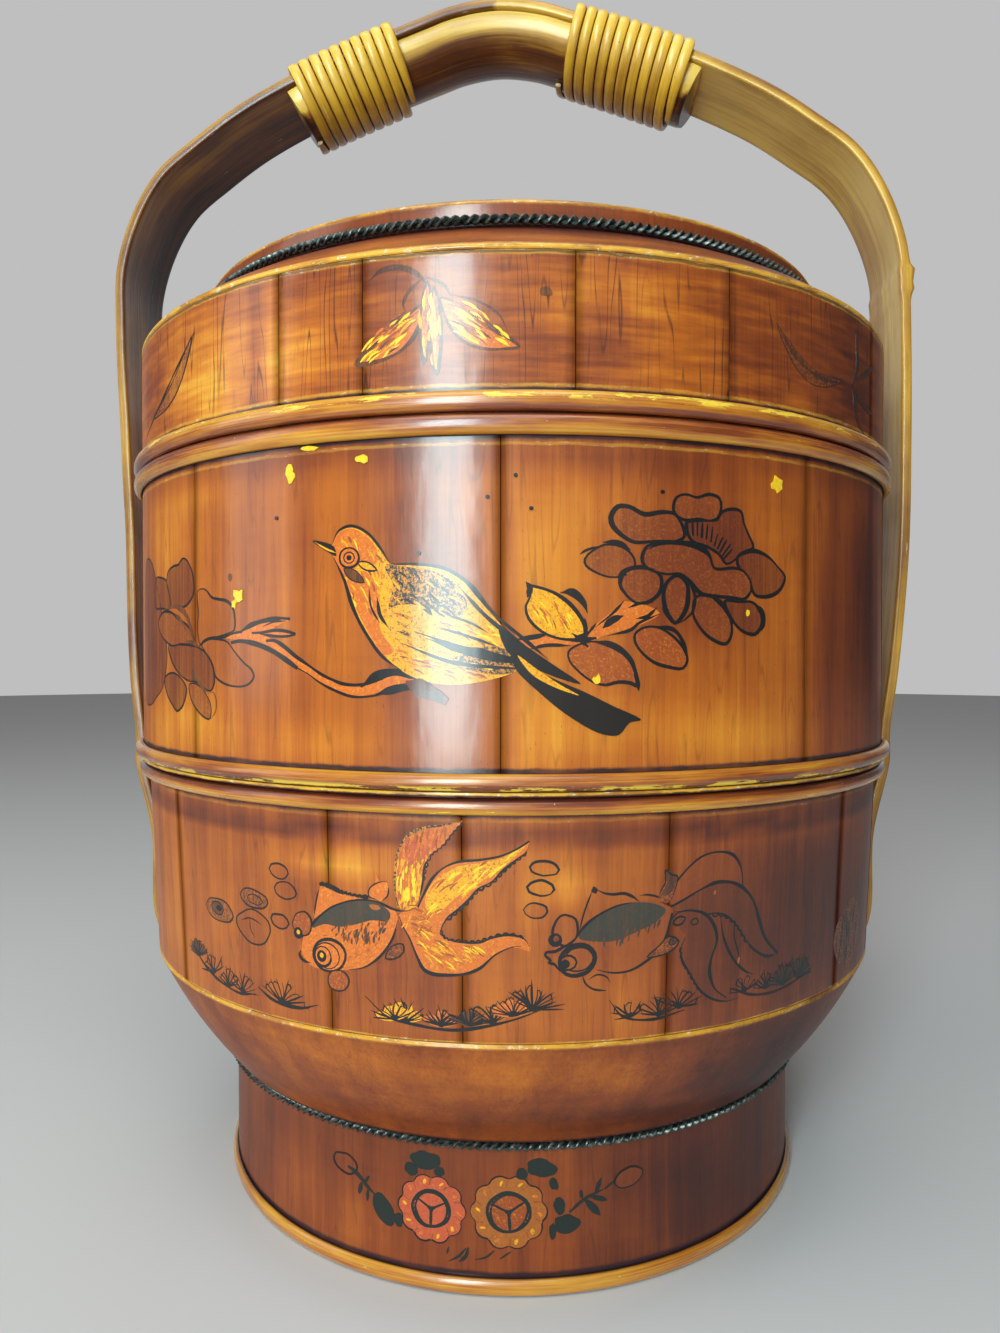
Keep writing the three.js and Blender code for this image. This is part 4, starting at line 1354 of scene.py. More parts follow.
    def leaf(self, base, tip, width, paint, ink=0.6, bend=0.0, line=INK):
        """A pointed leaf between two points, bent to its left by a share of its length."""
        start, end = Vector(base), Vector(tip)
        run = end - start
        side = Vector((-run.y, run.x)).normalized()
        left, right = [], []
        for t in (0.12, 0.3, 0.5, 0.7, 0.88):
            middle = start + run * t + side * (bend * run.length * math.sin(math.pi * t))
            half = width / 2 * math.sin(math.pi * t ** 0.9) ** 0.8
            left.append(tuple(middle + side * half))
            right.append(tuple(middle - side * half))
        self.shape([tuple(start), *left, tuple(end), *reversed(right)], paint, ink, line)

    def finish(self, name, body, material):
        """All the brush work as one piece, which carries the wall's tones for sheer paint."""
        tones = [stave_at(self.wall, turn) for turn in self.turns]
        thin = []
        for (x, y, z), (tone, _) in zip(self.vertices, tones):
            thin.append(tone_with_painted_shade(self.wall, bearing_of(x, y) * math.hypot(x, y), z) + tone)
        values = {
            "thin": thin,
            "shift": [shift for _, shift in tones],
            "paint": [paint[0] for paint in self.paints],
            "under": [paint[1] for paint in self.paints],
        }
        add_piece(name, self.vertices, self.faces, material, body, (), values)


def extent(outline):
    """Left, right, foot and top of an outline."""
    xs = [p[0] for p in outline]
    ys = [p[1] for p in outline]
    return min(xs), max(xs), min(ys), max(ys)


def encloses(outline, point):
    """Whether a point lies inside an outline."""
    x, y = point
    inside = False
    for (x0, y0), (x1, y1) in zip(outline, outline[1:] + outline[:1]):
        if (y0 > y) != (y1 > y) and x < x0 + (y - y0) * (x1 - x0) / (y1 - y0):
            inside = not inside
    return inside


def distance(outline, point):
    """How far the nearest point of an outline is."""
    return min(math.hypot(p[0] - point[0], p[1] - point[1]) for p in outline)


def bird(sheet):
    """A perched bird that looks up to the left."""
    sheet.shape([
        (-45.8, 206.3), (-44.3, 209.2), (-40.6, 210.5), (-36.3, 208.6), (-32.8, 204.8), (-30.0, 201.2),
        (-24, 200.6), (-17, 199.6), (-11.5, 196.4), (-6, 190.0), (-0.5, 184.0), (5, 179.0), (2, 175.2),
        (-6, 172.4), (-16, 171.4), (-25, 173.6), (-31.5, 178.4), (-36.6, 185), (-39.8, 191), (-42, 197.5),
        (-45, 202.2),
    ], GOLD)
    sheet.shape([
        (-45.6, 206.2), (-44.2, 209.0), (-40.6, 210.2), (-36.5, 208.3), (-33.4, 204.4), (-34, 201),
        (-38.5, 200.8), (-42, 198), (-45, 202.4),
    ], ORANGE)
    sheet.shape([
        (-41.6, 197.5), (-37, 199.5), (-33.6, 196), (-33.4, 190), (-32.2, 184), (-29, 179.5),
        (-31.6, 178.6), (-36.4, 185.2), (-39.6, 191.4),
    ], ORANGE)
    sheet.shape([
        (-31.3, 200.4), (-24, 200.0), (-17.5, 198.6), (-13, 195.4), (-10.6, 190.6), (-13.6, 187.8),
        (-16.5, 190.7), (-19.5, 187.3), (-24.2, 189.4), (-27.6, 186.0), (-30.4, 190), (-29.2, 195.9),
    ], WORN_INK)
    sheet.shape([
        (-30.0, 190), (-24, 191.0), (-17, 188.6), (-14, 184.6), (-19, 180.6), (-25, 180.4),
        (-30.4, 184.6),
    ], WORN_GOLD)
    sheet.shape([
        (-15.4, 177.2), (-10.1, 179.3), (-5.5, 180.8), (-0.7, 179.8), (3.4, 176.8), (1.7, 174.8),
        (-5.4, 174.0),
    ], WORN_INK)
    sheet.brush([(-26, 172), (-20, 169.6), (-15.6, 167.2)], 3.0, WASH, (0.3, 0.5))
    sheet.hatch([
        (-30.6, 199.8), (-22, 199.6), (-14.5, 197.2), (-9.2, 192.0), (-12, 188), (-20, 187), (-30, 192),
    ], 70, -38, 3.4, 0.6, (INK, INK, WORN_INK, GOLD))
    sheet.hatch([
        (-30, 190), (-20, 187), (-12, 188), (-3, 185.6), (0.5, 180.5), (-7, 179.6), (-20, 178.0),
        (-28, 182.4),
    ], 90, -28, 3.6, 0.5, (ORANGE, GOLD, BRIGHT_GOLD, WORN_INK))
    sheet.hatch([
        (-30, 180), (-20, 179), (-6, 177), (0, 175), (-8, 172), (-18, 171.6), (-26, 174.4),
    ], 70, -16, 3.2, 0.5, (GOLD, BRIGHT_GOLD, RUST, ORANGE))
    sheet.hatch([
        (-44, 207.6), (-40.6, 209.8), (-36.5, 208), (-32, 203), (-31, 197), (-33, 190), (-36, 184),
        (-40, 191), (-43.4, 198.4),
    ], 80, -62, 2.8, 0.45, (GOLD, BRIGHT_GOLD, RUST, ORANGE))
    for start, middle, end, width in (
        ((-13, 195.6), (-6, 188), (3.5, 180.5), 1.0), ((-24, 184.5), (-12, 180.5), (3, 177.5), 0.9),
        ((-27, 181.5), (-14, 176.8), (4, 175.2), 1.1), ((-16, 188.5), (-10, 186.5), (-5.5, 184), 0.7),
        ((-18, 185.5), (-11, 183.4), (-3, 180.6), 0.7), ((-21, 182.8), (-9, 178.8), (2.5, 176.4), 1.3),
        ((-12, 180.6), (-4, 178.6), (5, 176.6), 1.6), ((-33.4, 193), (-32.6, 188.4), (-30.4, 185.4), 0.8),
        ((-35.6, 195.2), (-35, 190.5), (-32.8, 186.6), 0.6),
    ):
        sheet.brush([start, middle, end], width)
    sheet.shape([
        (-3, 186.0), (4, 180.6), (11, 175.8), (17, 171.6), (11, 173.2), (5, 175.8), (-1, 179.6),
    ], INK)
    sheet.shape([
        (0, 179.0), (5, 175.6), (11, 172.6), (18, 169.6), (25, 166.2), (32.4, 162.6), (29.4, 162.0),
        (26.6, 159.0), (22, 159.4), (14, 163.8), (7, 169.4), (1, 175.4),
    ], INK)
    sheet.shape([
        (1.6, 178.6), (6, 175.4), (12, 171.4), (16.6, 168.8), (10.6, 170.8), (5, 174.0),
    ], GOLD)
    sheet.brush([
        (-45.8, 206.4), (-44, 209.6), (-40.5, 210.8), (-36.0, 208.9), (-32.4, 204.8), (-30.2, 201.4),
    ], 0.6)
    sheet.brush([
        (-45.4, 203.2), (-42.4, 197.4), (-40.2, 191), (-37, 184.8), (-32, 178.2), (-27, 174.8),
    ], 0.8)
    sheet.brush([
        (-31, 201), (-24, 200.9), (-16.5, 199.8), (-11, 196.6), (-5.5, 190.2), (1, 183.6),
    ], 1.0, INK)
    sheet.brush([(-4, 188.6), (4, 181.8), (9, 177.6)], 0.7)
    sheet.shape([(-51.6, 207.6), (-47.5, 206.9), (-45.2, 205.8), (-44.6, 203.4), (-47.4, 204.8)], INK)
    sheet.brush([(-50.8, 207.2), (-47.6, 205.4), (-44.6, 204.2)], 0.4, GOLD)
    sheet.oval(-41.0, 202.9, 2.7, 2.5, 0, ORANGE, 0.55, 0.05)
    sheet.oval(-41.0, 202.9, 1.5, 1.4, 0, None, 0.35, 0.0)
    sheet.oval(-41.0, 202.9, 0.75, 0.7, 0, INK, 0)
    sheet.leaf((-38.5, 201.6), (-33.5, 199.6), 2.0, GOLD, 0.45)
    sheet.leaf((-42.5, 200.2), (-36.8, 196.6), 2.6, WASH, 0.3)


def blossom_right(sheet):
    """An open blossom seen from the side, with its buds."""
    for outline, paint, ink in (
        ([(24.5, 212.2), (26.2, 214.9), (29.2, 215.0), (33.2, 213.3), (38, 214.0), (41.5, 213.6),
          (43.7, 210.4), (44.0, 208.2), (41.5, 206.8), (37.3, 206.8), (33.9, 206.5), (30.5, 206.4),
          (27.2, 208.1), (25.2, 210)], PETAL, 1.1),
        ([(41, 214.7), (41.8, 217.8), (44.4, 218.7), (47.7, 218.1), (51.1, 219.1), (54.2, 218.3),
          (54.8, 216.1), (53.6, 213.1), (51.1, 212.3), (48.1, 212.7), (44.4, 212.3), (42.3, 213)],
         PETAL, 0.8),
        ([(53.6, 212.8), (55, 214.8), (58.2, 215.8), (61.1, 215.3), (62, 212.4), (63.6, 209.5),
          (65.2, 206.4), (62.4, 205.3), (59.9, 203.5), (56.5, 201.8), (54.2, 204.2), (50.4, 206.0),
          (46, 207.4), (44.6, 211.6), (49, 212.4)], DARK_PETAL, 0.7),
        ([(59.9, 203.5), (62.4, 205), (65.8, 205.5), (70.4, 204.2), (74.1, 201.6), (76.7, 199.3),
          (75, 196), (70.9, 194), (65.8, 194.2), (64, 197.4), (60.7, 200.6)], DARK_PETAL, 0.9),
        ([(18, 202), (19.9, 204), (23.2, 205.6), (27.2, 205.2), (29.8, 203.4), (30.8, 201), (28.5, 198.4),
          (24.5, 197.7), (20.6, 198.9), (18.3, 200.5)], PETAL, 0.5),
        ([(26.8, 196.3), (27.8, 199.1), (31.1, 200.1), (35.2, 199.7), (37.6, 198), (37.3, 194.2),
          (34.5, 191.9), (31.1, 191.5), (28.5, 193.4)], PETAL, 0.9),
        ([(47.3, 193.1), (51.1, 193.5), (55, 191.4), (57.8, 187.5), (58.2, 184.2), (56.5, 181.5),
          (52.6, 182.4), (48.8, 185.3), (46.6, 189.1)], PETAL, 0.9),
        ([(56.1, 192.3), (60.7, 192.2), (64.9, 192.2), (68.1, 189.6), (68.1, 186.3), (65.8, 184),
          (61.5, 184.9), (58.6, 187.4)], DARK_PETAL, 0.8),
        ([(38.3, 193.6), (39.4, 196.8), (42.2, 198.4), (44.8, 196.3), (45.1, 193), (44.4, 189.8),
          (41.5, 186.6), (39.4, 189.1)], PETAL, 1.0),
        ([(32.6, 202.6), (33.9, 205.4), (38, 206.3), (43.7, 206.3), (48.1, 205.7), (51.1, 203.8),
          (52.7, 200.6), (55, 200.4), (58.2, 200.8), (61.5, 200.3), (64, 198.1), (64.5, 195.5),
          (62.4, 193.1), (58.2, 193.3), (53.4, 193.5), (48.8, 194.1), (45.8, 196.9), (42.9, 198.8),
          (39.4, 198.7), (35.2, 199.5), (33.2, 200.7)], PETAL, 0.9),
    ):
        sheet.shape(outline, paint, ink)
    for outer, inner in (
        ((44.8, 212.0), (45.0, 208.3)), ((46.2, 212.4), (46.5, 208.5)), ((47.7, 212.4), (47.7, 208.5)),
        ((49.2, 212.0), (49.0, 208.1)), ((50.7, 211.5), (50.3, 207.7)), ((52.2, 211.0), (51.7, 207.1)),
        ((53.8, 209.4), (52.7, 206.1)), ((55.4, 208.6), (53.6, 205.4)), ((56.5, 207.9), (54.4, 204.6)),
        ((57.8, 206.9), (55.1, 203.7)), ((58.2, 205.6), (55.6, 203.0)),
    ):
        sheet.brush([outer, inner], 0.6, INK, (0.5, 1))
    sheet.lines((
        (((33.4, 204.4), (38, 206.4), (43.7, 206.5), (48.1, 205.8), (51.2, 203.8), (52.6, 200.8)), 1.5),
        (((22.5, 206.2), (26.6, 206.2), (29.6, 204.4)), 1.0),
        (((16.8, 203.2), (18.2, 204.1), (21.5, 205.2)), 0.7),
        (((43, 198.2), (45.8, 196.2), (47.2, 193), (46.6, 189.8), (44.4, 187.6), (41.9, 186.3)), 0.6),
        (((27, 194.6), (27.4, 198.6), (31.1, 200.2), (36, 199.8)), 1.3),
        (((38.4, 192), (38.8, 189.6), (41.6, 186.4)), 1.3),
        (((51, 193.6), (55, 191.6), (58, 187.4), (58.2, 184)), 1.2),
        (((64.9, 192.2), (68.2, 189.6), (68.4, 186.4), (65.8, 183.8)), 1.5),
    ))
    sheet.oval(63.4, 189.4, 0.6, 0.9, 0, BRIGHT_GOLD, 0, 0.3)


def twigs_right(sheet):
    """The twig of the right blossom, with its three leaves."""
    sheet.shape([
        (1.2, 182.2), (5.5, 182.8), (11, 183.2), (17.4, 184.2), (24, 188.6), (28, 191.8), (37.3, 189.0),
        (31, 185.6), (23, 183.4), (18, 181.4), (10, 181.2), (4.3, 180.2),
    ], ORANGE)
    sheet.lines((
        (((1.1, 182.4), (5.5, 183.0), (9.2, 183.8)), 1.1), (((4.3, 180), (8.6, 181), (14.6, 180.9)), 0.8),
        (((20.6, 185.4), (25.1, 188.9), (28, 192)), 0.7),
        (((22.5, 185.2), (25, 187.2), (27.8, 188.3)), 1.3),
        (((23.9, 183.4), (29.8, 184.9), (31.8, 186.5), (37.3, 188.8)), 0.9),
        (((29, 190.2), (32, 191.4), (35.6, 191.7)), 0.8),
        (((31, 187.6), (34, 188.2), (36.6, 190.4)), 0.8),
    ))
    sheet.shape([
        (4, 195.3), (9.2, 194.3), (13, 192.2), (16.2, 189), (18, 185.6), (17.7, 182.8), (14.9, 182.4),
        (11.1, 182.8), (7.4, 184.4), (4.3, 187.5), (3.6, 190.6), (4.8, 193.1),
    ], GOLD, 0.8)
    sheet.hatch([
        (5, 194), (12, 191.6), (16.4, 186), (15, 183.4), (8, 184.8), (4.6, 189),
    ], 60, -58, 3.0, 0.4, (RUST, BRIGHT_GOLD, ORANGE))
    sheet.brush([(3.6, 196.4), (4.6, 195), (4.0, 192.6)], 1.2)
    sheet.brush([(12, 193.8), (14.9, 193.9), (17.7, 191.4), (18.7, 188.8)], 1.4)
    sheet.shape([
        (14, 179.4), (15.5, 180.7), (19.3, 181.9), (23.2, 181.4), (27.2, 179.5), (29.8, 177),
        (31.1, 173.8), (31.6, 170.9), (29.8, 171.7), (26.5, 172), (23.2, 171.3), (19.9, 172.2),
        (16.8, 174.4), (14.3, 177.2),
    ], RUST, 0.7)
    sheet.brush([(19.3, 182), (25, 181), (29.6, 177.6), (31.4, 173)], 1.3)
    sheet.brush([(30.6, 175), (31.4, 172.4), (31.8, 169.8)], 1.5)
    sheet.shape([
        (30.8, 183.8), (33.2, 185.4), (36.6, 185.5), (40.8, 183.4), (44, 180.1), (45, 177.2),
        (43.7, 175.3), (40.1, 175.6), (35.9, 176.8), (32.5, 179.4), (30.8, 181.9),
    ], RUST, 0.7)
    sheet.brush([(36.2, 185.8), (41.5, 184.7), (44.2, 181.0), (45.2, 178)], 1.2)
    for points in (
        ((18, 187.6), (18.6, 183.8)), ((20.9, 186.4), (17.6, 182.4)), ((14.9, 184), (18.9, 180.6)),
        ((14.6, 182), (21, 182.8)),
    ):
        sheet.brush(points, 0.9, INK, (0.2, 0.5))
    sheet.oval(17.6, 182.8, 1.5, 1.3, 0, INK, 0, 0.4)


def blossom_left(sheet):
    """A darkened blossom beside the handle."""
    for outline, paint, ink in (
        ([(-142, 207), (-137, 208.6), (-131, 206.5), (-127, 202), (-120, 190), (-116, 178), (-120, 169),
          (-127, 165.4), (-134, 163), (-142, 164)], DARK_PETAL, 0.5),
        ([(-126.5, 201.4), (-119.8, 201.4), (-116, 200.2), (-113.8, 196.2), (-112.8, 192.6),
          (-121, 192.4), (-127, 193.2)], DARK_PETAL, 0.5),
        ([(-114.7, 202.9), (-110.5, 204.3), (-106.9, 204.6), (-104.6, 206), (-102.3, 205.7),
          (-99.6, 203.3), (-98.1, 200.4), (-97.8, 196.4), (-99.3, 194.3), (-103.1, 192.3),
          (-107.3, 192.7), (-111.9, 192.5), (-113.8, 196.2), (-116, 200.2)], DARK_PETAL, 0.6),
        ([(-95.7, 196.3), (-93, 196.9), (-91.1, 196.3), (-88.7, 194.4), (-85.2, 193.7), (-82.1, 193.2),
          (-79.7, 191.6), (-78.6, 188.4), (-78.9, 185.3), (-81.8, 184.3), (-86.3, 183.4), (-91.1, 182.8),
          (-94.3, 181.4), (-95.7, 185), (-95.4, 190.3)], THIN_PETAL, 0.6),
        ([(-118.2, 171.2), (-111.9, 173.3), (-105.5, 171.7), (-102.3, 168.9), (-103.5, 165.6),
          (-105.5, 163.4), (-108.6, 162.3), (-111.9, 164), (-115.9, 166.8)], DARK_PETAL, 0.6),
        ([(-100.8, 170), (-96.4, 170.3), (-91.8, 167.8), (-89.3, 164.6), (-89.8, 161), (-91.8, 161),
          (-95.7, 162.8), (-99.3, 165.7)], PETAL, 0.6),
        ([(-93.7, 181.4), (-90, 183), (-85.2, 182.8), (-81.8, 182.1), (-78.6, 179.3), (-75.1, 176.5),
          (-72.2, 174.7), (-71.3, 172.9), (-72.7, 171.2), (-75.1, 170.3), (-79.7, 170.2), (-84, 171.1),
          (-87, 172.7), (-88.2, 175.2), (-91.1, 178.7)], THIN_PETAL, 0.6),
        ([(-114.7, 181), (-105.5, 181.4), (-99.3, 181.2), (-95, 180.5), (-91.1, 178.7), (-88.4, 175.9),
          (-87.6, 173.1), (-87.9, 170.3), (-89.3, 168.7), (-92.4, 169.2), (-96.4, 171), (-101.6, 171.3),
          (-107.3, 173.4), (-111.9, 176.6)], DARK_PETAL, 0.6),
        ([(-122, 190), (-118.2, 191.3), (-111.9, 190.8), (-107.3, 188.8), (-102.3, 187.2), (-99.3, 185),
          (-97.8, 182.6), (-100.8, 181.6), (-105.5, 181.7), (-111.9, 181.2), (-117, 182.7),
          (-121.5, 184.9), (-124, 188)], PETAL, 0.6),
    ):
        sheet.shape(outline, paint, ink)
    sheet.lines((
        (((-118, 192), (-108, 192.4), (-102, 189.6), (-98.6, 184), (-96.6, 180.4)), 1.6),
        (((-110, 190.6), (-105, 188), (-101.6, 184.4)), 1.2),
        (((-103, 182.4), (-98.6, 182), (-94.6, 180.6)), 1.0),
        (((-101.6, 171), (-96.4, 171.6), (-92.4, 168.8), (-89.4, 168.4)), 1.1),
        (((-99, 174.6), (-97.6, 171.4)), 1.6),
        (((-91.1, 167.8), (-88, 168.2), (-86.8, 166), (-87.2, 163), (-89.6, 160.8)), 0.4),
    ), WASH)
    sheet.oval(-80.5, 199.5, 0.9, 1.1, 0, WASH, 0, 0.2)


def branch_left(sheet):
    """The twig that runs from the left blossom to under the bird."""
    sheet.shape([
        (-83, 183.4), (-75.6, 184.8), (-69.4, 186.9), (-59, 187.6), (-64, 185.6), (-57.4, 184),
        (-66, 183.4), (-60.9, 180.9), (-52.9, 175.9), (-46.6, 172.6), (-40, 171.0), (-30, 173.4),
        (-20, 174), (-30, 170.2), (-40, 168.4), (-48, 170.8), (-56.4, 175.2), (-64.3, 179.5),
        (-73.1, 182),
    ], ORANGE)
    for points, width, ends in (
        (((-94.9, 181), (-92.4, 182.5), (-87.6, 183.3), (-83, 183.4), (-79.7, 184.3), (-75.6, 184.8)),
          0.7, (0.6, 1)),
        (((-76.6, 184.6), (-72.7, 186.3), (-69.4, 187.2), (-65.6, 187.8), (-62.2, 188.1), (-58.8, 187.9)),
          1.2, (0.4, 0.8)),
        (((-72, 184.4), (-68, 184.5), (-63.9, 185), (-60.5, 184.8), (-57, 184.0)), 0.8, (0.6, 0.9)),
        (((-69, 184.1), (-63.9, 183.5), (-60, 183.4), (-57.2, 183.9)), 0.7, (0.3, 0.8)),
        (((-80.2, 181.8), (-77.1, 182.3), (-73.1, 182), (-68.9, 181.1), (-64.3, 179.5), (-60, 177.3),
          (-56.4, 175.2)),
         1.3, (0.6, 0.8)),
        (((-57, 175.6), (-52.9, 173.6), (-49.9, 171.8), (-46, 170), (-40, 168.2), (-33, 168.8),
          (-30, 170)), 0.8, (0.7, 0.3)),
        (((-66.8, 182.3), (-63.9, 182.3), (-60.9, 180.9), (-57.2, 178.4), (-52.9, 175.9), (-49.1, 173.7),
          (-46.4, 172.5)),
         1.0, (0.8, 0.7)),
        (((-47, 172.8), (-43, 171.4), (-38, 171.2), (-32, 172.6)), 0.8, (0.7, 0.3)),
        (((-68, 186), (-64, 187.2), (-60, 187.4)), 0.5, (0.3, 0.3)),
        (((-38, 170.6), (-33, 173.6), (-28, 174.4), (-22, 173)), 2.4, (0.2, 0.6)),
        (((-34, 168.8), (-28, 170.4), (-22, 171.4)), 1.6, (0.2, 0.6)),
    ):
        sheet.brush(points, width, INK, ends)


# Flakes of gilt, as (along, level, half width, half height), and pinholes in the lacquer
FLAKES = (
    (-58.4, 225.0, 1.3, 2.4), (-77.0, 194.6, 1.8, 2.0), (-37.6, 227.2, 1.6, 0.9), (73.6, 223.4, 2.3, 2.0),
    (-52.0, 231.0, 2.4, 0.6), (21.0, 172.6, 1.1, 1.0), (-78.6, 192.2, 0.9, 1.1), (48.0, 232.4, 1.0, 0.4),
)
PINHOLES = ((-5.7, 217.0), (1.1, 222.2), (-22.7, 203.6), (4.9, 214.2), (-63.0, 214.0), (38.0, 219.0))
PINHOLE = (0.55, 0.5)


def upper_painting(material):
    """The bird between two blossoms on the upper tier, with flakes of gilt and pinholes."""
    sheet = Sheet("upper", lambda level: BODY_RADIUS, BODY_RADIUS, 3)
    blossom_left(sheet)
    branch_left(sheet)
    twigs_right(sheet)
    blossom_right(sheet)
    bird(sheet)
    for x, y, rx, ry in FLAKES:
        sheet.oval(x, y, rx, ry, 0, BRIGHT_GOLD, 0, 0.8)
    for x, y in PINHOLES:
        sheet.oval(x, y, *PINHOLE, 0, INK, 0)
    sheet.finish("bird_and_blossoms", "upper_tier", material)


def local_share(x, y):
    """A steady value near a half that differs from place to place."""
    return noise.noise(Vector((x * 0.7, y * 0.7, 0))) + 0.5


TUFT_SPREAD = 150  # degrees between the outer blades


def tuft(sheet, x, y, reach, blades, tilt, paint):
    """A tuft of water weed that fans out from its root, over a patch of paint if it has one."""
    angles = [
        math.radians(tilt + 90 + TUFT_SPREAD * (k / (blades - 1) - 0.5)) for k in range(blades)
    ]
    tips, crests = [], []
    for k, angle in enumerate(angles):
        length = reach * (0.72 + 0.5 * local_share(x + k, y))
        for points, share in ((tips, 1), (crests, 0.8)):
            out = share * length
            points.append((x + out * math.cos(angle), y + 0.8 * out * math.sin(angle)))
    if paint:
        sheet.shape([(x, y - 0.4), *crests], paint)
    strokes = []
    for k, (angle, tip) in enumerate(zip(angles, tips)):
        middle = ((x + tip[0]) / 2 + 0.5 * math.sin(angle + k), (y + tip[1]) / 2)
        strokes.append(([(x, y), middle, tip], 0.26 + 0.3 * local_share(y + k, x), INK, (0.9, 0.2)))
    for a, b in zip(crests, crests[1:]):
        if local_share(a[0], a[1]) > 0.45:
            crest = ((a[0] + b[0]) / 2 + (a[0] - x) * 0.08, (a[1] + b[1]) / 2 + 0.6)
            strokes.append(([a, crest, b], 0.34, INK, (0.6, 0.6)))
    sheet.brushes(strokes)
    sheet.oval(x, y + 0.4, reach / 5, reach / 8, tilt, INK, 0, 0.5)


SCALLOP_DEPTH = 0.35  # as a share of a scallop's length


def scallops(sheet, points, size, width=0.45):
    """Small scallops along a fin's trailing edge."""
    line = smooth_line([(*p, 0) for p in points], size)
    strokes = []
    for a, b in zip(line, line[1:]):
        run = b - a
        side = Vector((-run.y, run.x, 0)) * SCALLOP_DEPTH
        strokes.append(([a[:2], ((a + b) / 2 + side)[:2], b[:2]], width, INK, (0.8, 0.8)))
    sheet.brushes(strokes)


# Goldfish outlines, read off two enlarged crops of the photograph. A crop is the column and
# row of its corner in the photograph, and how many of its own pixels make one of the photograph's.
LEFT_CROP = (130, 729, 3.54)
RIGHT_CROP = (534, 729, 4.16)

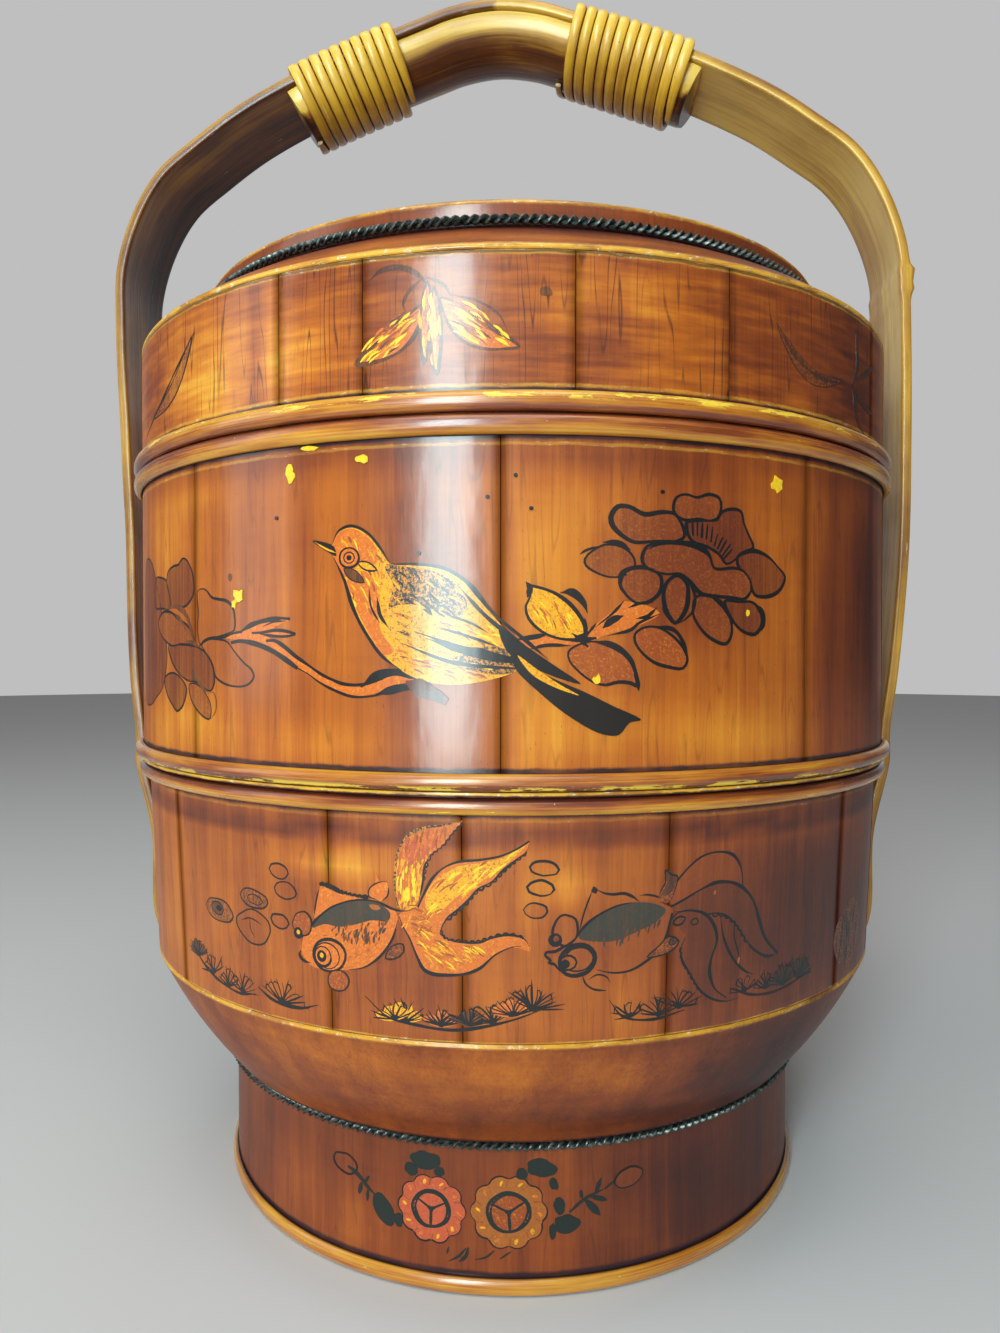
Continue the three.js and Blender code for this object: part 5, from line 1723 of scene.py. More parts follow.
LEFT_FISH = {
    "high fin": (
        (955, 645), (940, 580), (938, 510), (948, 440), (966, 400), (992, 370), (1042, 350), (1112, 340),
        (1176, 326), (1160, 346), (1130, 378), (1106, 412), (1062, 446), (1042, 490), (1036, 545),
        (1024, 605), (986, 642),
    ),
    "high fin root": (
        (955, 645), (940, 580), (940, 505), (950, 460), (1000, 470), (1050, 462), (1040, 520),
        (1030, 575), (1016, 612), (986, 642),
    ),
    "high fin strokes": ((948, 620), (944, 560), (946, 480), (1040, 470), (1032, 540), (1020, 600)),
    "high fin back": ((1024, 605), (1036, 545), (1042, 490), (1060, 448)),
    "high fin frill": ((1172, 330), (1132, 376), (1104, 412), (1062, 446), (1042, 492), (1036, 540)),
    "long fin": (
        (985, 640), (1018, 634), (1040, 585), (1070, 530), (1110, 492), (1160, 471), (1242, 463),
        (1312, 450), (1372, 424), (1414, 397), (1404, 432), (1368, 462), (1318, 502), (1282, 540),
        (1232, 566), (1200, 602), (1160, 640), (1122, 670), (1100, 702), (1092, 740), (1030, 720),
        (985, 690),
    ),
    "long fin gold": (
        (1050, 580), (1090, 528), (1150, 490), (1240, 474), (1320, 456), (1400, 412), (1352, 462),
        (1290, 510), (1220, 556), (1150, 600), (1090, 650), (1050, 640),
    ),
    "long fin strokes": (
        (1030, 620), (1080, 530), (1160, 478), (1300, 458), (1390, 420), (1310, 500), (1220, 565),
        (1120, 660), (1050, 680),
    ),
    "long fin back": (
        (1414, 397), (1404, 432), (1368, 462), (1318, 502), (1282, 540), (1232, 566), (1200, 602),
        (1160, 640), (1122, 670), (1104, 704), (1096, 740),
    ),
    "long fin frill": (
        (1402, 434), (1366, 464), (1316, 504), (1280, 542), (1230, 568), (1198, 604), (1158, 642),
        (1120, 674),
    ),
    "low fin": (
        (950, 660), (1000, 640), (1060, 680), (1096, 728), (1130, 746), (1180, 756), (1240, 756),
        (1280, 740), (1340, 729), (1396, 744), (1420, 786), (1352, 772), (1292, 800), (1240, 846),
        (1190, 866), (1130, 871), (1070, 866), (1040, 850), (1014, 800), (990, 740),
    ),
    "low fin strokes": (
        (985, 680), (1050, 700), (1110, 760), (1240, 770), (1340, 750), (1240, 830), (1130, 860),
        (1050, 840), (1010, 770),
    ),
    "low fin front": (
        (952, 662), (968, 702), (990, 740), (1014, 800), (1040, 850), (1070, 866), (1130, 871),
        (1190, 866), (1240, 846), (1292, 800), (1352, 772), (1384, 768),
    ),
    "low fin back": (
        (1092, 720), (1130, 746), (1180, 756), (1240, 756), (1280, 740), (1340, 729), (1396, 744),
        (1420, 786),
    ),
    "low fin frill": (
        (1098, 712), (1112, 742), (1150, 752), (1200, 758), (1244, 754), (1290, 738), (1344, 730),
        (1392, 744),
    ),
    "fin roots": ((930, 640), (1000, 620), (1060, 640), (1080, 720), (1010, 740), (950, 700)),
    "crest": (
        (652, 668), (660, 610), (674, 556), (710, 560), (745, 580), (790, 592), (838, 604), (800, 618),
        (720, 640),
    ),
    "crest front": ((652, 668), (660, 610), (672, 556)),
    "crest frill": ((672, 552), (706, 558), (742, 576), (786, 590), (842, 602)),
    "crest top": ((680, 552), (704, 556), (730, 568), (756, 586)),
    "flame": (
        (868, 600), (842, 588), (848, 566), (868, 548), (872, 508), (884, 540), (908, 540), (916, 566),
        (906, 596), (888, 610),
    ),
    "flame front": ((880, 606), (846, 590), (848, 566), (872, 546), (910, 538)),
    "flame back": ((916, 560), (912, 590), (892, 608)),
    "body": (
        (622, 812), (606, 786), (612, 738), (640, 700), (668, 668), (712, 634), (768, 612), (832, 606),
        (884, 616), (944, 650), (948, 690), (930, 740), (890, 800), (832, 842), (770, 852), (690, 852),
        (640, 835),
    ),
    "back line": (
        (608, 792), (612, 738), (640, 700), (668, 668), (712, 634), (768, 612), (832, 606), (884, 616),
        (940, 640), (990, 642), (1020, 626),
    ),
    "belly line": ((950, 672), (930, 740), (890, 800), (832, 842), (776, 852)),
    "dark back": (
        (646, 704), (676, 664), (716, 634), (768, 614), (832, 608), (884, 618), (922, 652), (914, 680),
        (860, 676), (806, 690), (740, 700), (690, 690),
    ),
    "light on back": ((846, 622), (880, 624), (888, 636), (862, 640)),
    "dark strokes": (
        (690, 690), (780, 680), (860, 672), (920, 670), (905, 735), (850, 770), (780, 772), (720, 740),
    ),
    "red strokes": ((650, 720), (700, 730), (800, 790), (900, 740), (880, 800), (800, 840), (700, 760)),
    "mouth": ((606, 782), (600, 796), (608, 812), (620, 822), (642, 826)),
    "cheek": ((660, 832), (690, 852), (724, 858), (760, 840)),
    "belly fin": ((905, 812), (926, 770), (966, 762), (968, 790), (940, 812)),
}
LEFT_FISH_SPOTS = {
    "far eye": (610, 688), "far pupil": (597, 722), "far glint": (597, 718), "near eye": (706, 800),
    "near rim": (698, 802), "near iris": (684, 804), "near pupil": (680, 803), "near glint": (680, 800),
    "chest fin": (738, 890),
}
RIGHT_FISH = {
    "high fin": (
        (562, 722), (585, 650), (640, 580), (700, 530), (770, 511), (830, 525), (862, 580), (868, 650),
        (800, 690), (680, 720),
    ),
    "long fin": (
        (560, 745), (620, 712), (690, 670), (760, 638), (830, 640), (880, 670), (915, 720), (935, 790),
        (962, 870), (1012, 932), (970, 945), (912, 915), (870, 850), (830, 795), (780, 765), (700, 768),
        (640, 752),
    ),
    "long fin tip": ((1012, 932), (970, 945), (912, 915), (880, 875)),
    "long fin back": ((880, 875), (845, 820), (800, 776), (760, 766), (700, 772), (640, 756), (580, 762)),
    "long fin frill": ((890, 885), (862, 838), (836, 800), (792, 770), (742, 772)),
    "streamer": ((775, 780), (790, 870), (828, 955), (880, 1008), (925, 1022)),
    "fold": ((835, 800), (832, 860), (846, 915), (852, 950)),
    "low fin": (
        (572, 792), (600, 764), (660, 755), (715, 772), (750, 820), (760, 880), (738, 950), (730, 1015),
        (752, 1080), (800, 1118), (850, 1118), (800, 1132), (740, 1122), (690, 1086), (650, 1020),
        (615, 960), (612, 905), (632, 865), (600, 825),
    ),
    "low fin front": (
        (850, 1118), (800, 1132), (740, 1122), (690, 1086), (650, 1020), (615, 960), (612, 905),
        (632, 865),
    ),
    "low fin frill": ((745, 1120), (692, 1084), (654, 1020), (618, 958), (614, 908)),
    "spine": ((188, 845), (205, 775), (228, 710), (243, 672)),
    "spine fin": ((255, 664), (290, 682), (330, 688), (375, 684), (415, 700), (445, 726)),
    "spine end": ((440, 692), (480, 690), (520, 702), (545, 732)),
    "flame": (
        (515, 705), (540, 650), (546, 586), (572, 598), (596, 612), (590, 660), (568, 715), (545, 722),
    ),
    "flame core": ((530, 690), (552, 640), (550, 588), (594, 612), (584, 655), (560, 690)),
    "flame line": (
        (516, 708), (530, 668), (546, 640), (548, 586), (572, 606), (596, 612), (588, 664), (566, 716),
    ),
    "body": (
        (180, 862), (215, 820), (250, 790), (330, 745), (400, 725), (480, 715), (540, 728), (578, 752),
        (566, 800), (550, 860), (518, 920), (460, 970), (400, 1004), (330, 1014), (262, 1002), (200, 990),
        (110, 960), (80, 925), (130, 900),
    ),
    "back line": ((150, 892), (180, 862), (215, 820), (250, 790), (330, 745), (400, 726), (440, 722)),
    "belly line": (
        (575, 765), (566, 800), (550, 860), (518, 920), (460, 970), (400, 1004), (330, 1014), (262, 1002),
    ),
    "dark back": (
        (185, 868), (228, 812), (280, 772), (350, 738), (440, 720), (520, 732), (548, 752), (510, 800),
        (430, 842), (340, 880), (260, 884),
    ),
    "dark strokes": (
        (200, 872), (260, 850), (350, 830), (440, 800), (540, 760), (530, 815), (450, 868), (370, 905),
        (300, 912), (240, 900),
    ),
    "mouth": (
        (168, 872), (130, 902), (85, 926), (50, 930), (48, 944), (68, 962), (62, 972), (84, 978),
        (104, 1002), (134, 1022),
    ),
    "chest fin": ((200, 1018), (212, 1056), (246, 1082), (300, 1088)),
    "chest fold": ((228, 1042), (262, 1022), (300, 1030), (318, 1056)),
    "belly fin": ((470, 948), (520, 902), (560, 862), (602, 882), (580, 915), (530, 940)),
    "shadow at the edge": (
        (1330, 700), (1285, 760), (1256, 830), (1246, 900), (1262, 965), (1288, 985), (1322, 945),
        (1346, 860), (1352, 770),
    ),
}
RIGHT_FISH_SPOTS = {
    "low glint": (851, 962), "high glint": (752, 680), "big ring": (605, 798), "small ring": (668, 800),
    "spine tip": (252, 670), "far eye": (130, 838), "far pupil": (88, 878), "far glint": (92, 872),
    "near eye": (180, 962), "near rim": (186, 958), "near iris": (142, 972), "near pupil": (130, 978),
    "belly spot": (576, 884),
}


def on_lower_wall(crop, x, y):
    """Where the line of sight through a crop's pixel meets the lower wall: along and level, in mm."""
    left, top, scale = crop
    across = (left + x / scale - FRAME_WIDTH_PIXELS / 2) / FOCAL_PIXELS
    up = (FRAME_HEIGHT_PIXELS / 2 - top - y / scale) / FOCAL_PIXELS
    sight = camera_turn().to_matrix() @ Vector((across, up, -1))
    eye = Vector(at_bearing(CAMERA_DISTANCE, 0, CAMERA_HEIGHT))
    point = eye
    a = sight.x ** 2 + sight.y ** 2
    half_b = eye.x * sight.x + eye.y * sight.y
    for _ in range(6):  # the wall's radius changes with the level, so the hit settles in steps
        c = eye.x ** 2 + eye.y ** 2 - lower_radius(point.z) ** 2
        point = eye + sight * ((-half_b - math.sqrt(max(half_b ** 2 - a * c, 0))) / a)
    return bearing_of(point.x, point.y) * LOWER_MIDDLE / MM, point.z / MM


def laid(crop, outlines, spots):
    """Named outlines and spots of a crop, laid on the lower wall."""
    lines = {
        name: [on_lower_wall(crop, *pixel) for pixel in outline] for name, outline in outlines.items()
    }
    return lines, {name: on_lower_wall(crop, *pixel) for name, pixel in spots.items()}


def goldfish_left(sheet):
    """An orange and gold goldfish that swims down to the left."""
    line, spot = laid(LEFT_CROP, LEFT_FISH, LEFT_FISH_SPOTS)
    sheet.shape(line["high fin"], ORANGE)
    sheet.shape(line["high fin root"], GOLD)
    sheet.hatch(line["high fin"], 260, 78, 3.6, 0.6, (ROSE, ROSE, RUST, TAN, ROSE), 9)
    sheet.hatch(line["high fin strokes"], 80, 84, 3.2, 0.5, (BRIGHT_GOLD, BRIGHT_GOLD, ORANGE, GOLD), 8)
    sheet.brush(line["high fin"][:9], 0.65, WORN_INK, (0.8, 0.4))
    sheet.brush(line["high fin back"], 0.5)
    scallops(sheet, line["high fin frill"], 1.9, 0.4)
    sheet.shape(line["long fin"], ORANGE)
    sheet.shape(line["long fin gold"], GOLD)
    paints = (BRIGHT_GOLD, BRIGHT_GOLD, ORANGE, RUST, GOLD)
    sheet.hatch(line["long fin strokes"], 170, 40, 4.2, 0.45, paints, 8)
    sheet.brush(line["long fin"][1:10], 0.7, INK, (0.6, 0.5))
    sheet.brush(line["long fin back"], 0.45)
    scallops(sheet, line["long fin frill"], 2.0)
    sheet.shape(line["low fin"], ORANGE)
    sheet.hatch(line["low fin strokes"], 150, -32, 3.2, 0.42, (GOLD, TAN, RUST, GOLD, BRIGHT_GOLD), 16)
    sheet.brush(line["low fin front"], 0.75, INK, (0.5, 0.2))
    sheet.brush(line["low fin back"], 0.55)
    scallops(sheet, line["low fin frill"], 2.0)
    sheet.hatch(line["fin roots"], 60, 20, 2.0, 0.35, (RUST, TAN, GOLD), 60)
    sheet.shape(line["crest"], ORANGE)
    sheet.brush(line["crest front"], 0.45)
    scallops(sheet, line["crest frill"], 1.5, 0.9)
    sheet.brush(line["crest top"], 1.1)
    sheet.shape(line["flame"], ORANGE)
    sheet.brush(line["flame front"], 0.45)
    sheet.brush(line["flame back"], 0.4)
    sheet.shape(line["body"], ORANGE)
    sheet.brush(line["back line"], 0.7)
    sheet.brush(line["belly line"], 0.75)
    sheet.shape(line["dark back"], TEAL)
    sheet.shape(line["light on back"], TAN)
    sheet.hatch(line["dark strokes"], 150, 74, 2.0, 0.5, (WASH, TEAL, HAZE, WASH), 20)
    sheet.hatch(line["red strokes"], 40, 20, 1.6, 0.3, (RUST, TAN), 30)
    sheet.oval(*spot["far eye"], 3.0, 3.3, -14, RUST, 0.5)
    sheet.oval(*spot["far pupil"], 1.5, 1.6, 0, INK, 0, 0.1)
    sheet.oval(*spot["far glint"], 0.6, 0.6, 0, GOLD, 0, 0.1)
    sheet.oval(*spot["near eye"], 4.9, 4.2, 10, ORANGE, 0.75, 0.04)
    sheet.oval(*spot["near rim"], 3.8, 3.4, 0, None, 0.35, 0.06)
    sheet.oval(*spot["near iris"], 2.5, 2.6, 0, ORANGE, 0.5, 0.04)
    sheet.oval(*spot["near pupil"], 1.5, 1.6, 0, INK, 0, 0.04)
    sheet.oval(*spot["near glint"], 0.6, 0.7, 0, GOLD, 0, 0.04)
    sheet.brush(line["mouth"], 0.6)
    sheet.brush(line["cheek"], 0.6)
    sheet.oval(*spot["chest fin"], 3.2, 2.7, 20, RUST, 0.45)
    sheet.shape(line["belly fin"], HAZE, 0.5)


def goldfish_right(sheet):
    """A goldfish in thin dark paint that swims down to the left, and painted shadow at the wall's edge
    beside it.
    """
    line, spot = laid(RIGHT_CROP, RIGHT_FISH, RIGHT_FISH_SPOTS)
    sheet.shape(line["high fin"], THIN_PETAL)
    sheet.brush(line["high fin"][:8], 0.8, INK, (0.6, 0.5))
    sheet.shape(line["long fin"], FIN_BROWN)
    sheet.brush(line["long fin"][:10], 0.9, INK, (0.5, 0.8))
    sheet.brush(line["long fin tip"], 0.8)
    sheet.brush(line["long fin back"], 0.45, INK, (0.4, 0.4))
    scallops(sheet, line["long fin frill"], 2.2, 0.5)
    sheet.brush(line["streamer"], 0.75)
    sheet.brush(line["fold"], 0.45)
    sheet.oval(*spot["low glint"], 0.35, 0.9, -10, TAN, 0)
    sheet.oval(*spot["high glint"], 0.35, 0.6, -10, TAN, 0)
    sheet.shape(line["low fin"], FIN_BROWN)
    sheet.brush(line["low fin"][:10], 0.85, INK, (0.5, 0.4))
    sheet.brush(line["low fin front"], 0.6)
    scallops(sheet, line["low fin frill"], 2.0)
    sheet.oval(*spot["big ring"], 1.7, 1.0, 20, None, 0.45, 0.5)
    sheet.oval(*spot["small ring"], 1.1, 0.7, 0, None, 0.35, 0.5)
    sheet.brush(line["spine"], 0.6)
    sheet.brush(line["spine fin"], 0.6)
    sheet.brush(line["spine end"], 0.5)
    sheet.oval(*spot["spine tip"], 0.9, 0.9, 0, INK, 0, 0.5)
    sheet.shape(line["flame"], HAZE)
    sheet.shape(line["flame core"], WASH)
    sheet.brush(line["flame line"], 0.5)
    sheet.shape(line["body"], THIN_PETAL)
    sheet.brush(line["back line"], 0.9)
    sheet.brush(line["belly line"], 0.65, INK, (0.7, 0.3))
    sheet.shape(line["dark back"], TEAL)
    sheet.hatch(line["dark strokes"], 110, 78, 2.6, 0.5, (TEAL, WASH, TEAL), 14)
    sheet.oval(*spot["far eye"], 3.2, 3.9, -12, THIN_PETAL, 0.6)
    sheet.oval(*spot["far pupil"], 1.8, 1.8, 0, INK, 0, 0.1)
    sheet.oval(*spot["far glint"], 0.85, 0.9, 0, DARK_PETAL, 0.2, 0.2)
    sheet.oval(*spot["near eye"], 4.7, 3.8, 20, THIN_PETAL, 0.9, 0.05)
    sheet.oval(*spot["near rim"], 3.7, 3.1, 20, None, 0.45, 0.08)
    sheet.oval(*spot["near iris"], 2.1, 1.9, 0, THIN_PETAL, 0.5, 0.1)
    sheet.oval(*spot["near pupil"], 1.2, 1.2, 0, INK, 0, 0.1)
    sheet.brush(line["mouth"], 0.75)
    sheet.brush(line["chest fin"], 0.6)
    sheet.brush(line["chest fold"], 0.35)
    sheet.shape(line["belly fin"], HAZE, 0.45)
    sheet.oval(*spot["belly spot"], 1.3, 0.9, 30, WASH, 0.3, 0.3)
    # Painted shadow at the wall's edge beside the fish.
    sheet.lift = FIRST_LAYER
    sheet.shape(line["shadow at the edge"], HAZE)
    sheet.hatch(line["shadow at the edge"], 90, 86, 6.0, 1.4, (WASH, HAZE, INK), 5)


def lower_painting(material):
    """Two goldfish with bubbles on the lower tier, over a row of water weed."""
    sheet = Sheet("lower", lower_radius, LOWER_MIDDLE, 5)
    for x, y, rx, ry, paint in (
        (-63.7, 121.5, 3.3, 2.0, THIN_PETAL), (-61.8, 116.5, 3.5, 2.3, THIN_PETAL),
        (-73.4, 112.8, 5.4, 2.5, HAZE), (-88.9, 107.1, 6.4, 3.2, HAZE),
        (-73.9, 105.0, 6.6, 4.5, THIN_PETAL), (-64.0, 108.0, 3.1, 1.9, THIN_PETAL),
        (8.2, 126.0, 3.7, 1.8, None), (7.4, 121.0, 3.3, 1.9, None), (6.0, 115.4, 3.0, 1.9, THIN_PETAL),
    ):
        sheet.oval(x, y, rx, ry, -6, paint)
    sheet.brush([(-79.0, 106.0), (-75.0, 107.2), (-70.4, 106.0)], 0.4)
    sheet.brush([(-75.2, 107.4), (-75.0, 104.0), (-73.4, 102.2)], 0.3)
    sheet.oval(-89.6, 107.6, 3.0, 1.7, -6, WASH, 0.4)
    sheet.oval(-88.8, 107.6, 1.4, 0.9, 0, INK, 0)
    sheet.oval(-73.0, 112.6, 3.0, 1.3, -6, HAZE, 0.3)
    sheet.lift = FIRST_LAYER
    goldfish_right(sheet)
    sheet.lift = FIRST_LAYER
    goldfish_left(sheet)
    tufts = (
        (-101.2, 91.5, 6.4, 14, 10, WASH), (-93.0, 88.4, 6.8, 8, 20, None),
        (-85.7, 86.1, 6.4, 9, 8, None), (-79.4, 85.8, 7.0, 9, -10, None),
        (-64.0, 85.9, 8.2, 11, -16, None), (-30.0, 86.4, 6.2, 9, 16, GOLD),
        (-27.1, 86.1, 6.6, 12, 2, GOLD), (-17.8, 85.7, 5.6, 12, 0, ORANGE),
        (-10.6, 86.2, 5.4, 14, -6, WASH), (-4.6, 87.0, 6.6, 11, 20, None),
        (0.6, 88.8, 6.6, 12, 6, ORANGE), (5.4, 90.4, 7.4, 14, -16, None), (30.6, 87.2, 5.6, 7, 20, None),
        (38.6, 87.0, 6.6, 10, 4, None), (44.0, 88.4, 6.8, 9, -14, None), (65.0, 89.4, 6.2, 9, 10, None),
        (73.0, 88.8, 6.0, 10, 0, None), (80.0, 88.6, 7.4, 13, 4, WASH), (86.6, 89.4, 7.6, 13, -18, WASH),
    )
    for k, place in enumerate(tufts):
        sheet.lift = FIRST_LAYER + (k % 3) * 2 * HATCH_LAYERS * STROKE_LAYER
        tuft(sheet, *place)
    sheet.lift = FIRST_LAYER + 6 * HATCH_LAYERS * STROKE_LAYER
    for points in (
        ((-104, 93), (-97, 89.0), (-90, 86.6), (-80, 85.2), (-74, 86.4)),
        ((-73, 88.6), (-67, 86), (-58, 85.6), (-52, 87.4)),
        ((-38, 91.6), (-32, 87), (-25, 85.6), (-14, 84.8), (0, 87.6), (9, 90.8)),
        ((25.0, 92), (28.6, 87.6), (36, 86), (46, 87.4)), ((60, 91), (68, 88.0), (78, 87.2), (92, 89.6)),
    ):
        sheet.brush(points, 0.8, INK, (0.2, 0.2))
    sheet.finish("goldfish_and_weed", "base", material)


def round_blossom(sheet, x, y, reach, tilt, petals, heart):
    """A round blossom with a scalloped edge and a three-pointed middle inside a dark ring."""

    def at(angle, across, up):
        return x + across * math.cos(angle), y + up * math.sin(angle)

    lobes = 10
    points = []
    for k in range(lobes * 4):
        angle = math.tau * k / (lobes * 4)
        out = reach * (0.90 + 0.10 * abs(math.cos(lobes * angle / 2)))
        points.append(at(angle, out, out * 0.97))
    sheet.shape(points, petals, 0.4)
    for k in range(lobes):
        angle = math.tau * (k + 0.5) / lobes
        vein = [at(angle, reach * 0.90, reach * 0.88), at(angle + 0.1, reach * 0.68, reach * 0.66)]
        sheet.brush(vein, 0.4, RUST, (1, 0.3))
        light = [at(angle + 0.2, reach * 0.86, reach * 0.84), at(angle + 0.3, reach * 0.74, reach * 0.72)]
        sheet.brush(light, 0.9, GOLD if k % 3 else ORANGE, (0.5, 0.5))
    core = reach * 0.52
    sheet.oval(x, y, core, core * 0.95, 0, heart, 1.5, 0.06, LEAF_INK)
    arms = [math.radians(tilt + 120 * k) for k in range(3)]
    for angle in arms:
        arm = [(x, y), at(angle, core * 0.5, core * 0.5), at(angle, core * 0.95, core * 0.95)]
        sheet.brush(arm, 0.7, LEAF_INK, (1.4, 0.6))
    sheet.shape([
        at(angle + turn, out, out) for angle in arms for turn, out in ((0, 2.6), (math.pi / 3, 0.7))
    ], LEAF_INK)


def foot_painting(material):
    """Two round blossoms with leaves on the foot."""
    sheet = Sheet("foot", lambda level: FOOT_RADIUS, FOOT_RADIUS, 7)
    round_blossom(sheet, -22.6, 22.8, 10.0, 28, ROSE, ROSE)
    round_blossom(sheet, -0.6, 23.4, 10.8, 34, TAN, RUST)
    for x, y, rx, ry, tilt in (
        (-24.4, 36.4, 4.2, 2.6, 4), (-28.6, 33.2, 2.2, 1.8, -20), (-20.2, 33.6, 1.6, 1.4, 20),
        (8.4, 35.8, 4.2, 2.5, -6), (3.0, 34.2, 1.8, 1.6, 0), (12.0, 31.0, 1.3, 1.8, 20),
        (-37.6, 20.4, 3.0, 4.6, 30), (-32.6, 17.8, 1.3, 2.2, -6), (15.6, 19.6, 3.6, 2.6, -14),
        (13.6, 24.6, 1.6, 2.4, 10), (11.6, 17.8, 1.0, 2.2, 0),
    ):
        sheet.oval(x, y, rx, ry, tilt, LEAF_INK, 0, 0.35)
    sheet.lines((
        (((-49.4, 29.6), (-46, 28.2), (-42.4, 25.2), (-40, 23.6)), 1.1),
        (((-44.6, 26.0), (-45.4, 22.6)), 1.3), (((-42.4, 24.4), (-42.6, 21.2)), 1.0),
        (((-43.4, 26.4), (-42.0, 28.6)), 1.1), (((16.4, 22.8), (20.6, 26.0), (26.4, 28.2)), 1.0),
        (((21, 25.8), (23.4, 23.2), (25.4, 21.0)), 1.7), (((22.6, 26.6), (27.4, 25.0)), 1.3),
        (((24, 27.4), (25.6, 31.4)), 1.5), (((20, 26.4), (19.6, 28.8)), 1.0),
        (((26.6, 28.2), (30, 30.2)), 0.7), (((-12.6, 12.8), (-14.6, 10.4), (-17.6, 8.6)), 0.6),
        (((-12.0, 13.0), (-12.6, 10.6), (-14.6, 8.8)), 1.2), (((-17.6, 12.6), (-18.0, 10.6)), 0.5),
        (((-4.6, 12.6), (-7, 10.6), (-10, 9.8)), 0.5), (((0, 12.4), (-3.2, 10.2)), 0.4),
    ), LEAF_INK, (0.4, 0.2))
    sheet.oval(-50.4, 30.4, 4.4, 2.8, -8, None, 0.6, 0.15)
    sheet.oval(34.0, 30.4, 4.6, 2.6, 14, THIN_PETAL, 0.4, 0.12)
    sheet.finish("paired_blossoms", "base", material)


def lid_painting(material):
    """A sprig in the middle of the lid, and worn leaves to both sides of it."""
    sheet = Sheet("lid", lambda level: BODY_RADIUS, BODY_RADIUS, 9)
    sheet.brush([(-35.6, 271.0), (-32, 273.2), (-27, 273.4), (-22.4, 271.0), (-20.4, 268.6)], 1.8, WASH)
    sheet.brush([(-21.4, 270.6), (-25, 267.6), (-26.6, 264.2), (-25.6, 262.4)], 0.8, WASH)
    sheet.brush([(-20.6, 270.6), (-16.4, 268.6), (-14.6, 265.6)], 0.8, WASH)
    sheet.brush([(-14.6, 266), (-8.4, 264.4), (-3, 261), (-0.6, 256.4)], 0.5, WASH)
    sheet.leaf((-21.0, 263.8), (-39.0, 250.8), 6.4, ORANGE, 1.1, 0.08, WASH)
    sheet.leaf((-17.2, 265.4), (2.0, 253.2), 6.6, ORANGE, 0.8, -0.12, WASH)
    sheet.leaf((-20.4, 269.6), (-21.4, 249.6), 2.8, ORANGE, 0.7, 0, WASH)
    sheet.leaf((-18.8, 268.0), (-18.2, 246.8), 3.0, ORANGE, 0.9, 0, WASH)
    for start, end in (
        ((-22.6, 262.4), (-36.6, 252.4)), ((-24.4, 260.0), (-37.2, 250.8)), ((-24, 263), (-34, 256.4)),
        ((-15.6, 264), (-4, 257.4)), ((-14, 261.4), (-1.6, 253.8)), ((-13.6, 263.4), (-2, 257)),
    ):
        middle = ((start[0] + end[0]) / 2, (start[1] + end[1]) / 2 + 0.8)
        sheet.brush([start, middle, end], 0.55, RUST, (0.8, 0.2))
    paints = (BRIGHT_GOLD, BRIGHT_GOLD, GOLD, RUST, RUST, ORANGE, WASH)
    sheet.hatch([
        (-20.6, 264.2), (-26, 263.4), (-36.6, 256), (-39.4, 250.6), (-33, 250.6), (-24.6, 255.6),
    ], 150, 35, 4.6, 0.6, paints, 7)
    sheet.hatch([
        (-16.8, 266), (-9, 264.8), (-1.4, 257), (2.6, 252.8), (-6, 252.8), (-15, 257.6),
    ], 150, -33, 4.6, 0.6, paints, 7)
    sheet.hatch([
        (-21.6, 269), (-23, 260), (-21.4, 250), (-18.2, 247.5), (-16.8, 258), (-18, 267),
    ], 60, 90, 4.4, 0.6, (BRIGHT_GOLD, GOLD, RUST), 5)
    sheet.leaf((-98, 267.6), (-128, 250.4), 4.6, HAZE, 0.5, 0.14)
    sheet.brush([(-97, 268.4), (-108, 260.6), (-122, 252.6), (-138, 247)], 0.7)
    sheet.leaf((73.6, 264.6), (104, 256.0), 4.2, HAZE, 0.4, -0.2, WASH)
    sheet.brush([(73.2, 265.6), (80, 258.6), (90, 254.6), (104, 254.8)], 1.3, WASH)
    sheet.lines((
        (((110, 255.6), (114, 262), (113, 271)), 1.8), (((112, 255), (118, 252), (128, 251)), 1.6),
        (((111, 255), (114, 247), (120, 243.6)), 1.6), (((113, 258), (122, 262), (130, 266)), 1.8),
    ), WASH, (0.6, 0.3))
    sheet.oval(8.6, 266.4, 1.6, 1.2, 0, WASH, 0, 0.5)
    sheet.finish("sprays_on_the_lid", "lid", material)


# The object

